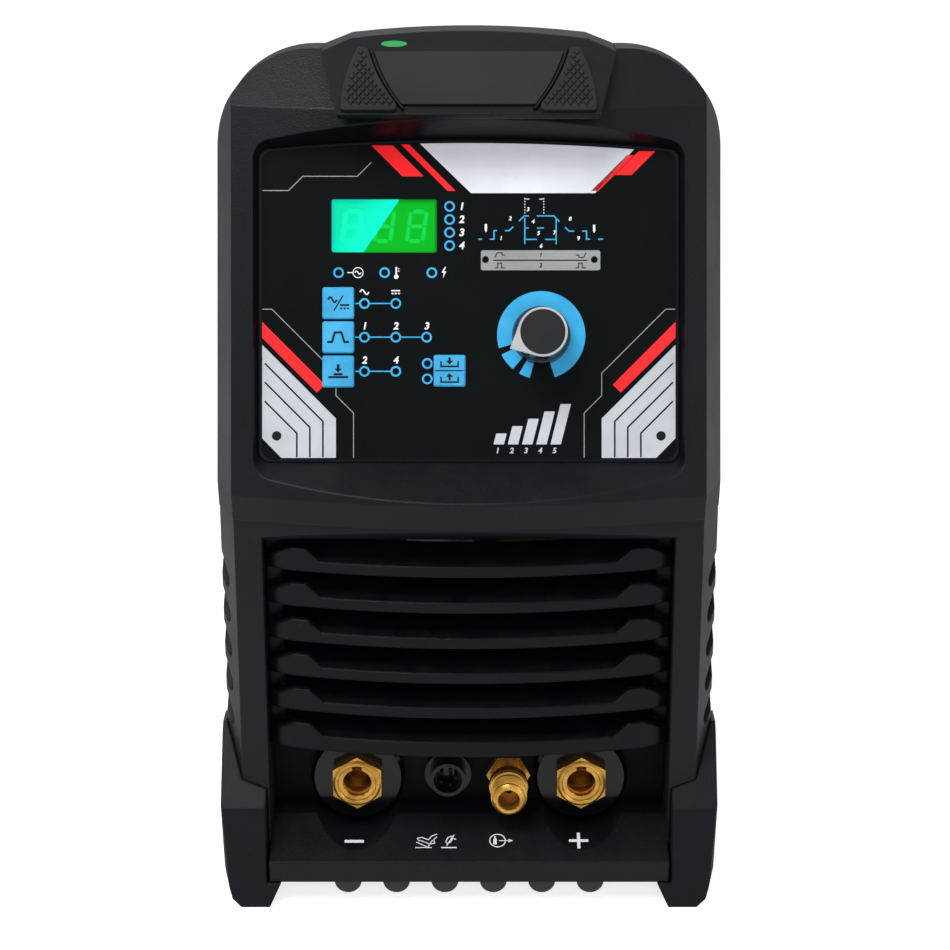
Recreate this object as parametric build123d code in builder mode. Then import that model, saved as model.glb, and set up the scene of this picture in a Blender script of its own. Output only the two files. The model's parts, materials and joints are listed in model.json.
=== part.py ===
from build123d import *
import math
import os

os.makedirs("parts", exist_ok=True)

# Inverter TIG welding machine, millimetres.
# Origin at the bottom centre, on the floor; +Z up; the control panel faces -Y.

# overall
total_width = 220.0
total_height = 373.5
total_length = 450.0
lean = 18.0  # the upper front leans back this far from the vertical, degrees
wall = 3.0  # moulded plastic
steel = 1.2  # cover and base sheet
fit = 0.3  # gap between neighbouring pieces

# body outline
body_width = total_width - 4.0  # the feet stand proud of it
body_bottom = 11.0
body_top = total_height - 7.5  # front moulding
body_corner = 42.0
rear_top = total_height - 57.5  # the rear moulding is lower than the front
cover_top = rear_top - 34.0
front_depth = 100.0  # front moulding, nose to rear edge
rear_depth = 47.0  # rear moulding
rear_setback = 13.0  # its back face stands inside the overall length
nose_radius = 350.0
bevel_width = 8.0
bevel_depth = 20.0

# front moulding, heights and setbacks behind the foremost line
pillar_setback = 7.0
brow_height = body_top - 22.0
panel_height = body_top - 100.8  # middle of the control panel
chin_height = panel_height - 89.2
chin_setback = 5.0
rim_height = chin_height + 12.0
rim_setback = 1.8
window_width = body_width - 40.0
window_depth = 62.0
window_top = chin_height - 10.0
window_top_setback = 23.0

# recess round the control panel, measured on the leaning panel plane
panel_setback = 44.2
overlay_width = window_width - 1.0
overlay_height = 133.8
overlay_rise = 4.2  # arched top edge
overlay_thickness = 0.5
recess_margin = 1.6
recess_depth = 17.0
side_draft = 5.0
sill_draft = 17.7
head_draft = 5.7
recess_corner = 5.0
corner_draft = 7.0
carrier_thickness = 3.0

front_y = -total_length / 2
rear_y = total_length / 2
front_edge = front_y + front_depth
rear_face = rear_y - rear_setback
rear_edge = rear_face - rear_depth
slope = math.tan(math.radians(lean))
panel_normal = (0, -math.cos(math.radians(lean)), math.sin(math.radians(lean)))
panel = Plane(origin=(0, front_y + panel_setback, panel_height), x_dir=(1, 0, 0), z_dir=panel_normal)


def write(piece, name):
    piece.part.label = name
    export_step(piece.part, f"parts/{name}.step")


def side_plane(x):
    # a plane across the machine whose sketch axes are +Y and +Z
    return Plane(origin=(x, 0, 0), x_dir=(0, 1, 0), z_dir=(1, 0, 0))


def setback_points(points):
    # side-view points given as setback from the nose and height
    return [(front_y + setback, height) for setback, height in points]


# ---------------------------------------------------------------- front moulding
def plan_outline(height, setback, inset):
    half = body_width / 2 - inset
    shoulder = half - bevel_width
    nose = front_y + setback + inset
    sagitta = nose_radius - math.sqrt(nose_radius**2 - shoulder**2)
    corner = nose + sagitta + bevel_depth
    with BuildSketch(Plane.XY.offset(height)) as outline:
        with BuildLine():
            nose_arc = ThreePointArc((-shoulder, nose + sagitta), (0, nose), (shoulder, nose + sagitta))
            Polyline(nose_arc @ 1, (half, corner), (half, rear_y), (-half, rear_y), (-half, corner), nose_arc @ 0)
        make_face()
    return outline.sketch


def body_view(y, top, inset):
    # front view of a moulding: flat bottom, big round top corners
    with BuildSketch(Plane.XZ.offset(-y)) as view:
        with Locations((0, (body_bottom + top) / 2)):
            Rectangle(body_width - 2 * inset, top - body_bottom - 2 * inset)
        fillet(view.vertices().group_by(Axis.Y)[-1], body_corner - inset)
    return view.sketch


def front_form(inset):
    brow_setback = rim_setback + (brow_height - rim_height) * slope
    stages = [
        (body_bottom, pillar_setback, rim_height, pillar_setback),
        (chin_height, chin_setback, rim_height, rim_setback),
        (rim_height, rim_setback, brow_height, brow_setback),
        (brow_height, brow_setback, body_top, brow_setback + body_top - brow_height),
    ]
    with BuildPart() as form:
        for low, low_setback, high, high_setback in stages:
            run = high_setback - low_setback
            rise = high - low
            extrude(plan_outline(low, low_setback, inset), amount=math.hypot(run, rise), dir=(0, run, rise))
        extrude(body_view(front_edge - inset, body_top, inset), amount=front_depth + wall, mode=Mode.INTERSECT)
    return form.part


def recess_outline(out, grow):
    # outline of the panel recess, so far out from the panel plane
    flare = out / recess_depth
    half = overlay_width / 2 + recess_margin + side_draft * flare + grow
    low = -overlay_height / 2 - recess_margin - sill_draft * flare - grow
    high = overlay_height / 2 - overlay_rise + recess_margin + head_draft * flare + grow
    with BuildSketch(panel.offset(out)) as outline:
        with BuildLine():
            head = ThreePointArc((-half, high), (0, high + overlay_rise), (half, high))
            Polyline(head @ 1, (half, low), (-half, low), head @ 0)
        make_face()
        fillet(outline.vertices(), recess_corner + corner_draft * flare + grow)
    return outline.sketch


# handle block seat, front view
block_bottom = body_top - 23.4
block_foot_half = 53.6
block_brim_half = 62.0
block_top_half = 50.0
block_arch = 2.8  # the top edge is gently arched
block_round = 4.0
block_setback = 43.4
block_lip = 1.2  # the front hangs this far below the seat
front_block = (block_bottom, body_top, total_height)  # foot, brim and top heights
rear_block = (rear_top - 16.0, rear_top, total_height - 36.3)


def block_view(y, grow, foot, brim, top):
    # front view of a handle block: widens up to the moulding's top, then tapers in
    with BuildSketch(Plane.XZ.offset(-y)) as view:
        with BuildLine():
            head = ThreePointArc(
                (block_top_half + grow, top - block_arch + grow),
                (0, top + grow),
                (-block_top_half - grow, top - block_arch + grow),
            )
            Polyline(
                head @ 1,
                (-block_brim_half - grow, brim),
                (-block_foot_half - grow, foot - grow),
                (block_foot_half + grow, foot - grow),
                (block_brim_half + grow, brim),
                head @ 0,
            )
        make_face()
        fillet(view.vertices().group_by(Axis.Y)[-1], block_round)
    return view.sketch


window_points = [
    (-30, -5),
    (-30, chin_height),
    (chin_setback, chin_height),
    (window_top_setback, window_top),
    (window_depth, window_top),
    (window_depth, -5),
]
window_wall_points = [
    (-30, -5),
    (-30, chin_height + wall),
    (chin_setback + 1, chin_height + wall),
    (window_top_setback + 1, window_top + wall),
    (window_depth, window_top + wall),
    (window_depth, -5),
]
plate_setback = 46.0  # front face of the connector plate
plate_thickness = 3.0
socket_spacing = 100.4
connector_height = 46.0
collar_radius = 21.0
lip_setback = 7.4
lip_height = 20.7
ledge_setback = 32.0
ledge_height = 32.6
ledge_points = [
    (lip_setback, body_bottom),
    (lip_setback, lip_height),
    (ledge_setback, ledge_height),
    (plate_setback - fit, ledge_height),
    (plate_setback - fit, ledge_height - wall),
    (ledge_setback + 0.6, ledge_height - wall),
    (lip_setback + wall, lip_height - wall / 2),
    (lip_setback + wall, body_bottom + wall),
    (window_depth, body_bottom + wall),
    (window_depth, body_bottom),
]

ledge_solid_points = [
    (lip_setback, body_bottom),
    (lip_setback, lip_height),
    (ledge_setback, ledge_height),
    (plate_setback - fit, ledge_height),
    (plate_setback - fit, body_bottom),
]
scallop_gap = 1.5
socket_places = [(-socket_spacing / 2, connector_height), (socket_spacing / 2, connector_height)]

side_slot_count = 6
side_slot_low = 76.0
side_slot_high = window_top - 8.5
side_slot_pitch = (side_slot_high - side_slot_low) / (side_slot_count - 1)
side_slot_length = 52.0
side_slot_height = 8.0
side_slot_angle = 38.0
side_slot_setback = 52.0
side_slot_reach = 10.0

front_outer = front_form(0)
front_inner = front_form(wall)

with BuildPart() as recess_tub:
    loft([recess_outline(-2 * carrier_thickness, wall), recess_outline(2 * recess_depth, wall)])
    add(front_outer, mode=Mode.INTERSECT)

with BuildPart() as handle_seat:
    extrude(block_view(front_edge, fit + wall, *front_block), amount=front_depth - block_setback + wall)
    add(front_outer, mode=Mode.INTERSECT)

with BuildPart() as window_wall:
    with BuildSketch(side_plane(-window_width / 2 - wall)):
        Polygon(*setback_points(window_wall_points), align=None)
    extrude(amount=window_width + 2 * wall)
    add(front_outer, mode=Mode.INTERSECT)

with BuildPart() as ledge_cups:
    with BuildSketch(side_plane(-window_width / 2)):
        Polygon(*setback_points(ledge_solid_points), align=None)
    extrude(amount=window_width)
    with BuildSketch(Plane.XZ.offset(-front_y - plate_setback)):
        with Locations(*socket_places):
            Circle(collar_radius + scallop_gap + wall / 2)
    extrude(amount=plate_setback, mode=Mode.INTERSECT)

with BuildPart() as front_bezel:
    add(front_outer)
    add(front_inner, mode=Mode.SUBTRACT)
    # open back below the cover's top edge
    with Locations((0, front_edge - wall, body_bottom + wall)):
        Box(
            body_width - 2 * wall,
            front_depth / 2,
            cover_top + fit - body_bottom - wall,
            align=(Align.CENTER, Align.CENTER, Align.MIN),
            mode=Mode.SUBTRACT,
        )
    add(recess_tub.part)
    add(handle_seat.part)
    add(window_wall.part)
    loft(
        [recess_outline(-carrier_thickness, 0), recess_outline(2 * recess_depth, 0)],
        mode=Mode.SUBTRACT,
    )
    with BuildSketch(panel.offset(-3 * carrier_thickness)):
        Rectangle(overlay_width - 16, overlay_height - 16)
    extrude(amount=3 * carrier_thickness, mode=Mode.SUBTRACT)
    extrude(
        block_view(front_edge + wall, fit, *front_block),
        amount=front_depth - block_setback + 2 * wall,
        mode=Mode.SUBTRACT,
    )
    with BuildSketch(side_plane(-window_width / 2)):
        Polygon(*setback_points(window_points), align=None)
    extrude(amount=window_width, mode=Mode.SUBTRACT)
    with BuildSketch(side_plane(-window_width / 2)):
        Polygon(*setback_points(ledge_points), align=None)
    extrude(amount=window_width)
    # slanted louvres through the sides, sweeping down towards the front
    for side in (-1, 1):
        with BuildSketch(side_plane(side * body_width / 2)):
            for index in range(side_slot_count):
                height = side_slot_low + index * side_slot_pitch
                with Locations(Location((front_y + side_slot_setback, height), side_slot_angle)):
                    SlotOverall(side_slot_length, side_slot_height)
        extrude(amount=side_slot_reach, both=True, mode=Mode.SUBTRACT)
    # walled scallops in the ledge round the two current sockets
    add(ledge_cups.part)
    with BuildSketch(Plane.XZ.offset(-front_y - plate_setback)):
        with Locations(*socket_places):
            Circle(collar_radius + scallop_gap)
    extrude(amount=plate_setback, mode=Mode.SUBTRACT)
write(front_bezel, "front_bezel")

# ---------------------------------------------------------------- front grille
bar_count = 6
bar_low = 72.6
bar_high = window_top - 12.4
bar_pitch = (bar_high - bar_low) / (bar_count - 1)
bar_face = 4.6
bar_skirt = 2.0  # the lowest blade is deeper
bar_depth = 20.0
bar_lift = 4.5  # the blades rise towards the back
bar_setback = 9.2
bar_radius = 311.0
bar_arc_half = window_width / 2 - 14.0
bar_bend_radius = 40.0
bar_end_angle = 35.0
shoulder_height = 5.4
shoulder_thickness = 3.6
shoulder_start = window_width / 2 - 25.0
shoulder_ramp = 6.5
post_width = 7.0
post_depth = 14.0
post_setback = 31.0

bar_arc_angle = math.degrees(math.asin(bar_arc_half / bar_radius))
bar_centre = (0, front_y + bar_setback + bar_radius, 0)
bend_reach = bar_radius - bar_bend_radius
bend_centre = (
    bend_reach * math.sin(math.radians(bar_arc_angle)),
    bar_centre[1] - bend_reach * math.cos(math.radians(bar_arc_angle)),
    0,
)


def radial_plane(centre, angle):
    turn = math.radians(angle)
    return Plane(
        origin=centre,
        x_dir=(math.sin(turn), -math.cos(turn), 0),
        z_dir=(-math.cos(turn), -math.sin(turn), 0),
    )


def blade_arc(centre, start, end, points):
    # one arc of a blade: its section turned about the arc's own centre
    with BuildSketch(radial_plane(centre, start)) as section:
        Polygon(*points, align=None)
    revolve(section.sketch, axis=Axis(centre, (0, 0, 1)), revolution_arc=end - start)


def blade_points(radius):
    return [
        (radius, 0),
        (radius, bar_face),
        (radius - bar_depth, bar_face + bar_lift),
        (radius - bar_depth, bar_lift),
    ]


def shoulder_points(radius):
    return [
        (radius, 0),
        (radius, bar_face + shoulder_height),
        (radius - shoulder_thickness, bar_face + shoulder_height),
        (radius - shoulder_thickness, 0),
    ]


with BuildPart() as shoulder:
    blade_arc(bar_centre, 0, bar_arc_angle, shoulder_points(bar_radius))
    blade_arc(bend_centre, bar_arc_angle, bar_end_angle, shoulder_points(bar_bend_radius))
    with BuildSketch(Plane.XZ.offset(-front_y - post_setback)):
        Polygon(
            (shoulder_start, bar_face / 2),
            (shoulder_start, bar_face),
            (shoulder_start + shoulder_ramp, bar_face + shoulder_height),
            (shoulder_start + 2 * shoulder_ramp, bar_face + shoulder_height),
            (window_width / 2, bar_face),
            (window_width / 2, bar_face / 2),
            align=None,
        )
    extrude(amount=post_setback, mode=Mode.INTERSECT)

with BuildPart() as blade:
    blade_arc(bar_centre, 0, bar_arc_angle, blade_points(bar_radius))
    blade_arc(bend_centre, bar_arc_angle, bar_end_angle, blade_points(bar_bend_radius))
    add(shoulder.part)
    mirror(about=Plane.YZ)

with BuildPart() as front_grille:
    with Locations(*[(0, 0, bar_low + index * bar_pitch) for index in range(bar_count)]):
        add(blade.part)
    with Locations((0, 0, bar_low - bar_skirt)):
        add(blade.part)
    post_x = window_width / 2 - fit - post_width / 2
    with Locations((post_x, front_y + post_setback, bar_low), (-post_x, front_y + post_setback, bar_low)):
        Box(
            post_width,
            post_depth,
            window_top - fit - bar_low,
            align=(Align.CENTER, Align.MIN, Align.MIN),
        )
write(front_grille, "front_grille")

# ---------------------------------------------------------------- connectors
plate_top = 84.0
control_x = -9.6
gas_x = 17.6
socket_neck_radius = 13.0
socket_bore_radius = 6.5
socket_bore_depth = 32.0
control_radius = 8.0
gas_neck_radius = 5.0


def front_plane(setback):
    # plane across the machine facing forwards, that far behind the nose
    return Plane.XZ.offset(-front_y - setback)


with BuildPart() as connector_plate:
    low = body_bottom + wall
    with BuildSketch(front_plane(plate_setback + plate_thickness)):
        with Locations((0, (low + plate_top) / 2)):
            Rectangle(window_width - 2 * fit, plate_top - low)
        with Locations(*socket_places):
            Circle(socket_neck_radius + fit, mode=Mode.SUBTRACT)
        with Locations((control_x, connector_height)):
            Circle(control_radius + fit, mode=Mode.SUBTRACT)
        with Locations((gas_x, connector_height)):
            Circle(gas_neck_radius + fit, mode=Mode.SUBTRACT)
    extrude(amount=plate_thickness)
write(connector_plate, "connector_plate")

collar_thickness = 6.0
hex_flats = 21.6
hex_length = 6.0
barrel_radius = 9.0
barrel_length = 36.0
stud_radius = 5.0
stud_length = 16.0
key_slot = 4.4
key_slot_depth = 3.4
neck_length = 14.0
nut_thickness = 6.0

with BuildPart() as socket_shells:
    for place in socket_places:
        with BuildSketch(front_plane(plate_setback)):
            with Locations(place):
                Circle(collar_radius)
        extrude(amount=collar_thickness)
    chamfer(socket_shells.edges().group_by(Axis.Y)[0], 1.5)
    for place in socket_places:
        with BuildSketch(front_plane(plate_setback)):
            with Locations(place):
                Circle(socket_neck_radius)
        extrude(amount=-neck_length)
        with BuildSketch(front_plane(plate_setback + neck_length)):
            with Locations(place):
                Circle(barrel_radius + fit / 2)
        extrude(amount=neck_length + collar_thickness, mode=Mode.SUBTRACT)
write(socket_shells, "socket_shells")

hex_front = plate_setback - collar_thickness - hex_length
with BuildPart() as socket_inserts:
    for place in socket_places:
        with BuildSketch(front_plane(hex_front + hex_length)):
            with Locations(place):
                RegularPolygon(hex_flats / 2, 6, major_radius=False, rotation=30)
        extrude(amount=hex_length)
        with BuildSketch(front_plane(hex_front + hex_length)):
            with Locations(place):
                Circle(barrel_radius)
        extrude(amount=-barrel_length)
        with BuildSketch(front_plane(hex_front + hex_length + barrel_length)):
            with Locations(place):
                Circle(stud_radius)
        extrude(amount=-stud_length)
        with BuildSketch(front_plane(hex_front)):
            with Locations(place):
                Circle(socket_bore_radius)
        extrude(amount=-socket_bore_depth, mode=Mode.SUBTRACT)
        with BuildSketch(front_plane(hex_front)):
            with Locations((place[0], place[1] + socket_bore_radius)):
                Rectangle(key_slot, key_slot_depth)
        extrude(amount=-socket_bore_depth / 2, mode=Mode.SUBTRACT)
write(socket_inserts, "socket_inserts")

control_spot = (control_x, connector_height)
with BuildPart() as control_socket:
    with BuildSketch(front_plane(plate_setback)):
        with Locations(control_spot):
            Circle(control_radius + 2.5)
    extrude(amount=2.5)
    with BuildSketch(front_plane(plate_setback + 16)):
        with Locations(control_spot):
            Circle(control_radius)
    extrude(amount=25)
    with BuildSketch(front_plane(plate_setback)):
        with Locations(control_spot):
            Circle(control_radius - 1.6)
    extrude(amount=9, mode=Mode.SUBTRACT)
write(control_socket, "control_socket")

pin_count = 5
with BuildPart() as control_pins:
    with BuildSketch(front_plane(plate_setback)):
        with Locations(Location((control_x, connector_height))):
            with PolarLocations(3.6, pin_count):
                Circle(0.8)
    extrude(amount=6.5)
write(control_pins, "control_pins")

gas_spot = (gas_x, connector_height)
gas_front = 17.0
gas_thread_radius = 7.4
gas_thread_length = 13.0
gas_collar_radius = 8.6
gas_bore_radius = 4.8
with BuildPart() as gas_outlet:
    with BuildSketch(front_plane(gas_front + gas_thread_length)):
        with Locations(gas_spot):
            Circle(gas_thread_radius)
    extrude(amount=gas_thread_length)
    chamfer(gas_outlet.edges().group_by(Axis.Y)[0], 0.8)
    with BuildSketch(front_plane(gas_front + gas_thread_length + 4)):
        with Locations(gas_spot):
            Circle(gas_collar_radius)
    extrude(amount=4)
    with BuildSketch(front_plane(plate_setback - 4)):
        with Locations(gas_spot):
            Circle(gas_thread_radius - 1)
    extrude(amount=plate_setback - 8 - gas_front - gas_thread_length)
    with BuildSketch(front_plane(plate_setback)):
        with Locations(gas_spot):
            RegularPolygon(gas_collar_radius, 6, major_radius=False)
    extrude(amount=4)
    with BuildSketch(front_plane(plate_setback)):
        with Locations(gas_spot):
            Circle(gas_neck_radius)
    extrude(amount=-22)
    with BuildSketch(front_plane(gas_front)):
        with Locations(gas_spot):
            Circle(gas_bore_radius)
    extrude(amount=-12, mode=Mode.SUBTRACT)
    with BuildSketch(front_plane(gas_front)):
        with Locations(gas_spot):
            Circle(2.5)
    extrude(amount=-80, mode=Mode.SUBTRACT)
write(gas_outlet, "gas_outlet")

# ---------------------------------------------------------------- control panel
# positions on the panel: across from its centre, and up the lean
window_spot = (-35.7, 31.6)
window_size = (44.2, 22.0)
knob_spot = (30.5, -14.6)
key_size = 13.4
key_pitch = 14.4
key_column = -55.0
key_row = -1.1
memory_spot = (-8.1, -29.6)
key_travel = 0.8
key_rise = 1.8
flange_thickness = 1.2
board_gap = 12.4  # panel plane to the face of the control board
board_thickness = 1.6
led_radius = 1.4

key_spots = {
    "key_ac_dc": (key_column, key_row),
    "key_mode": (key_column, key_row - key_pitch),
    "key_trigger": (key_column, key_row - 2 * key_pitch),
    "key_memory": memory_spot,
}
unit_leds = [(-8.1, 39.7 - 5.5 * row) for row in range(4)]
status_leds = [(-54.9, 11.8), (-35.5, 11.8), (-15.6, 11.8)]
mode_leds = [(-44.0, -1.2), (-30.8, -1.2), (-44.0, -15.4), (-30.8, -15.4), (-17.8, -15.4)]
mode_leds += [(-44.0, -29.8), (-30.8, -29.8)]
memory_leds = [(-17.5, -26.5), (-17.5, -33.0)]
cycle_leds = [(7.2, 26.2), (13.5, 29.5), (19.9, 32.5), (27.0, 40.9), (27.0, 35.9), (27.0, 30.6)]
cycle_leds += [(30.4, 25.8), (33.9, 31.4), (39.7, 32.5), (46.1, 29.3), (52.8, 25.9)]
strip_leds = [(7.0, 17.3), (52.9, 17.3)]
led_spots = unit_leds + status_leds + mode_leds + memory_leds + cycle_leds + strip_leds


def overlay_outline(out, grow):
    half = overlay_width / 2 + grow
    low = -overlay_height / 2 - grow
    high = overlay_height / 2 - overlay_rise + grow
    with BuildSketch(panel.offset(out)) as outline:
        with BuildLine():
            head = ThreePointArc((-half, high), (0, high + overlay_rise), (half, high))
            Polyline(head @ 1, (half, low), (-half, low), head @ 0)
        make_face()
        fillet(outline.vertices(), recess_corner)
    return outline.sketch


def key_openings(out, grow):
    with BuildSketch(panel.offset(out)) as openings:
        with Locations(*key_spots.values()):
            RectangleRounded(key_size + 2 * grow, key_size + 2 * grow, 1)
    return openings.sketch


bush_radius = 3.5
with BuildPart() as panel_carrier:
    loft([recess_outline(-carrier_thickness, -fit), recess_outline(0, -fit)])
    extrude(key_openings(-carrier_thickness, fit), amount=carrier_thickness, mode=Mode.SUBTRACT)
    with BuildSketch(panel.offset(-carrier_thickness)):
        with Locations(window_spot):
            Rectangle(window_size[0] + 2 * fit, window_size[1] + 2 * fit)
        with Locations(knob_spot):
            Circle(bush_radius + fit)
        with Locations(*led_spots):
            Circle(led_radius + fit)
    extrude(amount=carrier_thickness, mode=Mode.SUBTRACT)
write(panel_carrier, "panel_carrier")

with BuildPart() as control_overlay:
    extrude(overlay_outline(0, 0), amount=overlay_thickness)
    extrude(key_openings(0, fit), amount=overlay_thickness, mode=Mode.SUBTRACT)
    with BuildSketch(panel):
        with Locations(window_spot):
            Rectangle(window_size[0] + 2 * fit, window_size[1] + 2 * fit)
        with Locations(knob_spot):
            Circle(bush_radius + fit)
    extrude(amount=overlay_thickness, mode=Mode.SUBTRACT)
write(control_overlay, "control_overlay")

with BuildPart() as display_window:
    with BuildSketch(panel.offset(-1)):
        with Locations(window_spot):
            RectangleRounded(*window_size, 0.8)
    extrude(amount=1 + overlay_thickness + 0.3)
write(display_window, "display_window")

module_face = 2.4  # display module's face behind the panel plane
with BuildPart() as display_module:
    with BuildSketch(panel.offset(-board_gap)):
        with Locations(window_spot):
            Rectangle(window_size[0] - 2, window_size[1] - 2)
    extrude(amount=board_gap - module_face)
write(display_module, "display_module")

digit_count = 3
digit_pitch = 13.7
digit_height = 14.2
digit_width = 8.4
digit_slant = 8.0
segment_width = 1.7
with BuildPart() as led_digits:
    half_h = digit_height / 2 - segment_width / 2
    half_w = digit_width / 2 - segment_width / 2
    lean_over = half_h / 2 * math.tan(math.radians(digit_slant))
    for index in range(digit_count):
        across = window_spot[0] + (index - (digit_count - 1) / 2) * digit_pitch
        with BuildSketch(panel.offset(-module_face)):
            for row in (-1, 0, 1):
                with Locations((across + 2 * lean_over * row, window_spot[1] + half_h * row)):
                    SlotOverall(2 * half_w - segment_width - 0.2, segment_width)
            for row in (-1, 1):
                for column in (-1, 1):
                    spot = (across + lean_over * row + half_w * column, window_spot[1] + half_h / 2 * row)
                    with Locations(Location(spot, 90 - digit_slant)):
                        SlotOverall(half_h - 0.3, segment_width)
        extrude(amount=0.4)
write(led_digits, "led_digits")

board_width = 160.0
board_height = 112.0
with BuildPart() as control_board:
    with BuildSketch(panel.offset(-board_gap - board_thickness)):
        Rectangle(board_width, board_height)
    extrude(amount=board_thickness)
write(control_board, "control_board")

pillar_inset = 6.0
with BuildPart() as board_pillars:
    with BuildSketch(panel.offset(-board_gap)):
        with GridLocations(board_width - 2 * pillar_inset, board_height - 2 * pillar_inset, 2, 2):
            Circle(3)
    extrude(amount=board_gap - carrier_thickness)
write(board_pillars, "board_pillars")

with BuildPart() as indicator_leds:
    with BuildSketch(panel.offset(-board_gap)):
        with Locations(*led_spots):
            Circle(led_radius)
    extrude(amount=board_gap - 0.2)
write(indicator_leds, "indicator_leds")

switch_height = 3.5
plunger_height = 1.7
with BuildPart() as key_switches:
    with BuildSketch(panel.offset(-board_gap)):
        with Locations(*key_spots.values()):
            Rectangle(6, 6)
    extrude(amount=switch_height)
    with BuildSketch(panel.offset(-board_gap + switch_height)):
        with Locations(*key_spots.values()):
            Circle(1.7)
    extrude(amount=plunger_height)
write(key_switches, "key_switches")

for name, spot in key_spots.items():
    with BuildPart() as key:
        with BuildSketch(panel.offset(-carrier_thickness - fit)):
            with Locations(spot):
                RectangleRounded(key_size, key_size, 1)
        extrude(amount=carrier_thickness + fit + key_rise)
        chamfer(key.faces().sort_by(Axis((0, 0, 0), panel_normal))[-1].edges(), 0.5)
        with BuildSketch(panel.offset(-carrier_thickness - fit)):
            with Locations(spot):
                Rectangle(key_size + 2, key_size + 0.4)
        extrude(amount=-flange_thickness)
        stem_top = -carrier_thickness - fit - flange_thickness
        stem_end = -board_gap + switch_height + plunger_height + key_travel + 0.1
        with BuildSketch(panel.offset(stem_end)):
            with Locations(spot):
                Circle(2)
        extrude(amount=stem_top - stem_end)
    write(key, name)

# ---------------------------------------------------------------- encoder and knob
shaft_radius = 3.0
bush_rise = 3.4
encoder_face = 5.0
press_travel = 0.5
with BuildPart() as encoder_body:
    with BuildSketch(panel.offset(-board_gap)):
        with Locations(knob_spot):
            Rectangle(12, 12)
    extrude(amount=board_gap - encoder_face)
    with BuildSketch(panel.offset(-encoder_face)):
        with Locations(knob_spot):
            Circle(bush_radius)
    extrude(amount=encoder_face + bush_rise)
    with BuildSketch(panel.offset(-encoder_face - 1)):
        with Locations(knob_spot):
            Circle(shaft_radius + 0.2)
    extrude(amount=encoder_face + bush_rise + 1, mode=Mode.SUBTRACT)
    with BuildSketch(panel.offset(-board_gap + 1.4)):
        with Locations(knob_spot):
            Circle(5)
    extrude(amount=board_gap - encoder_face - 2.4, mode=Mode.SUBTRACT)
write(encoder_body, "encoder_body")

with BuildPart() as encoder_nut:
    with BuildSketch(panel.offset(overlay_thickness)):
        with Locations(knob_spot):
            RegularPolygon(5, 6, major_radius=False)
            Circle(bush_radius + 0.1, mode=Mode.SUBTRACT)
    extrude(amount=2)
write(encoder_nut, "encoder_nut")

rotor_top = -board_gap + 5.2
with BuildPart() as encoder_rotor:
    with BuildSketch(panel.offset(-board_gap + 1.8)):
        with Locations(knob_spot):
            Circle(4.6)
    extrude(amount=1.6)
    with BuildSketch(panel.offset(-board_gap + 3.4)):
        with Locations(knob_spot):
            Circle(2.4)
    extrude(amount=rotor_top + board_gap - 3.4)
write(encoder_rotor, "encoder_rotor")

knob_low = 1.4
knob_height = 24.0
knob_radius = 12.1
knob_face_radius = 10.2
shaft_top = 13.0
skirt_height = 4.0
skirt_step = 1.0
flute_count = 20
flute_radius = 1.4
flute_depth = 1.2
nut_room = (7.5, 3.4)  # hollow over the encoder nut, radius and depth
with BuildPart() as encoder_shaft:
    with BuildSketch(panel.offset(rotor_top + press_travel + fit)):
        with Locations(knob_spot):
            Circle(shaft_radius)
    extrude(amount=shaft_top - rotor_top - press_travel - fit)
write(encoder_shaft, "encoder_shaft")

ring_width = 0.9
ring_depth = 1.8
with BuildPart() as knob_body:
    with BuildSketch(panel.offset(knob_low)):
        with Locations(knob_spot):
            Circle(knob_radius)
    with BuildSketch(panel.offset(knob_low + skirt_height)):
        with Locations(knob_spot):
            Circle(knob_radius - 0.3)
    loft()
    with BuildSketch(panel.offset(knob_low + skirt_height)):
        with Locations(knob_spot):
            Circle(knob_radius - skirt_step)
    with BuildSketch(panel.offset(knob_height - ring_depth)):
        with Locations(knob_spot):
            Circle(knob_face_radius)
    loft()
    with BuildSketch(panel.offset(knob_low + skirt_height + 1)):
        with Locations(knob_spot):
            with PolarLocations(knob_radius - skirt_step + flute_radius - flute_depth / 2, flute_count):
                Circle(flute_radius)
    extrude(amount=knob_height, mode=Mode.SUBTRACT)
    with BuildSketch(panel.offset(knob_low)):
        with Locations(knob_spot):
            Circle(nut_room[0])
    extrude(amount=nut_room[1], mode=Mode.SUBTRACT)
    with BuildSketch(panel.offset(knob_low)):
        with Locations(knob_spot):
            Circle(shaft_radius)
    extrude(amount=shaft_top - knob_low, mode=Mode.SUBTRACT)
write(knob_body, "knob_body")

pointer_angle = 207.0
pointer_tip = 15.2
# the pointer is a beak whose sides run tangent to the ring
tangent_x = knob_face_radius**2 / pointer_tip
tangent_y = math.sqrt(knob_face_radius**2 - tangent_x**2)
with BuildPart() as knob_ring:
    with BuildSketch(panel.offset(knob_height - ring_depth)):
        with Locations(Location(knob_spot, pointer_angle)):
            Circle(knob_face_radius)
            Polygon((pointer_tip, 0), (tangent_x, tangent_y), (tangent_x, -tangent_y), align=None)
            Circle(knob_face_radius - ring_width, mode=Mode.SUBTRACT)
    extrude(amount=ring_depth)
write(knob_ring, "knob_ring")

with BuildPart() as knob_cap:
    with BuildSketch(panel.offset(knob_height - ring_depth)):
        with Locations(knob_spot):
            Circle(knob_face_radius - ring_width - 0.05)
    extrude(amount=ring_depth - 0.3)
write(knob_cap, "knob_cap")

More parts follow.
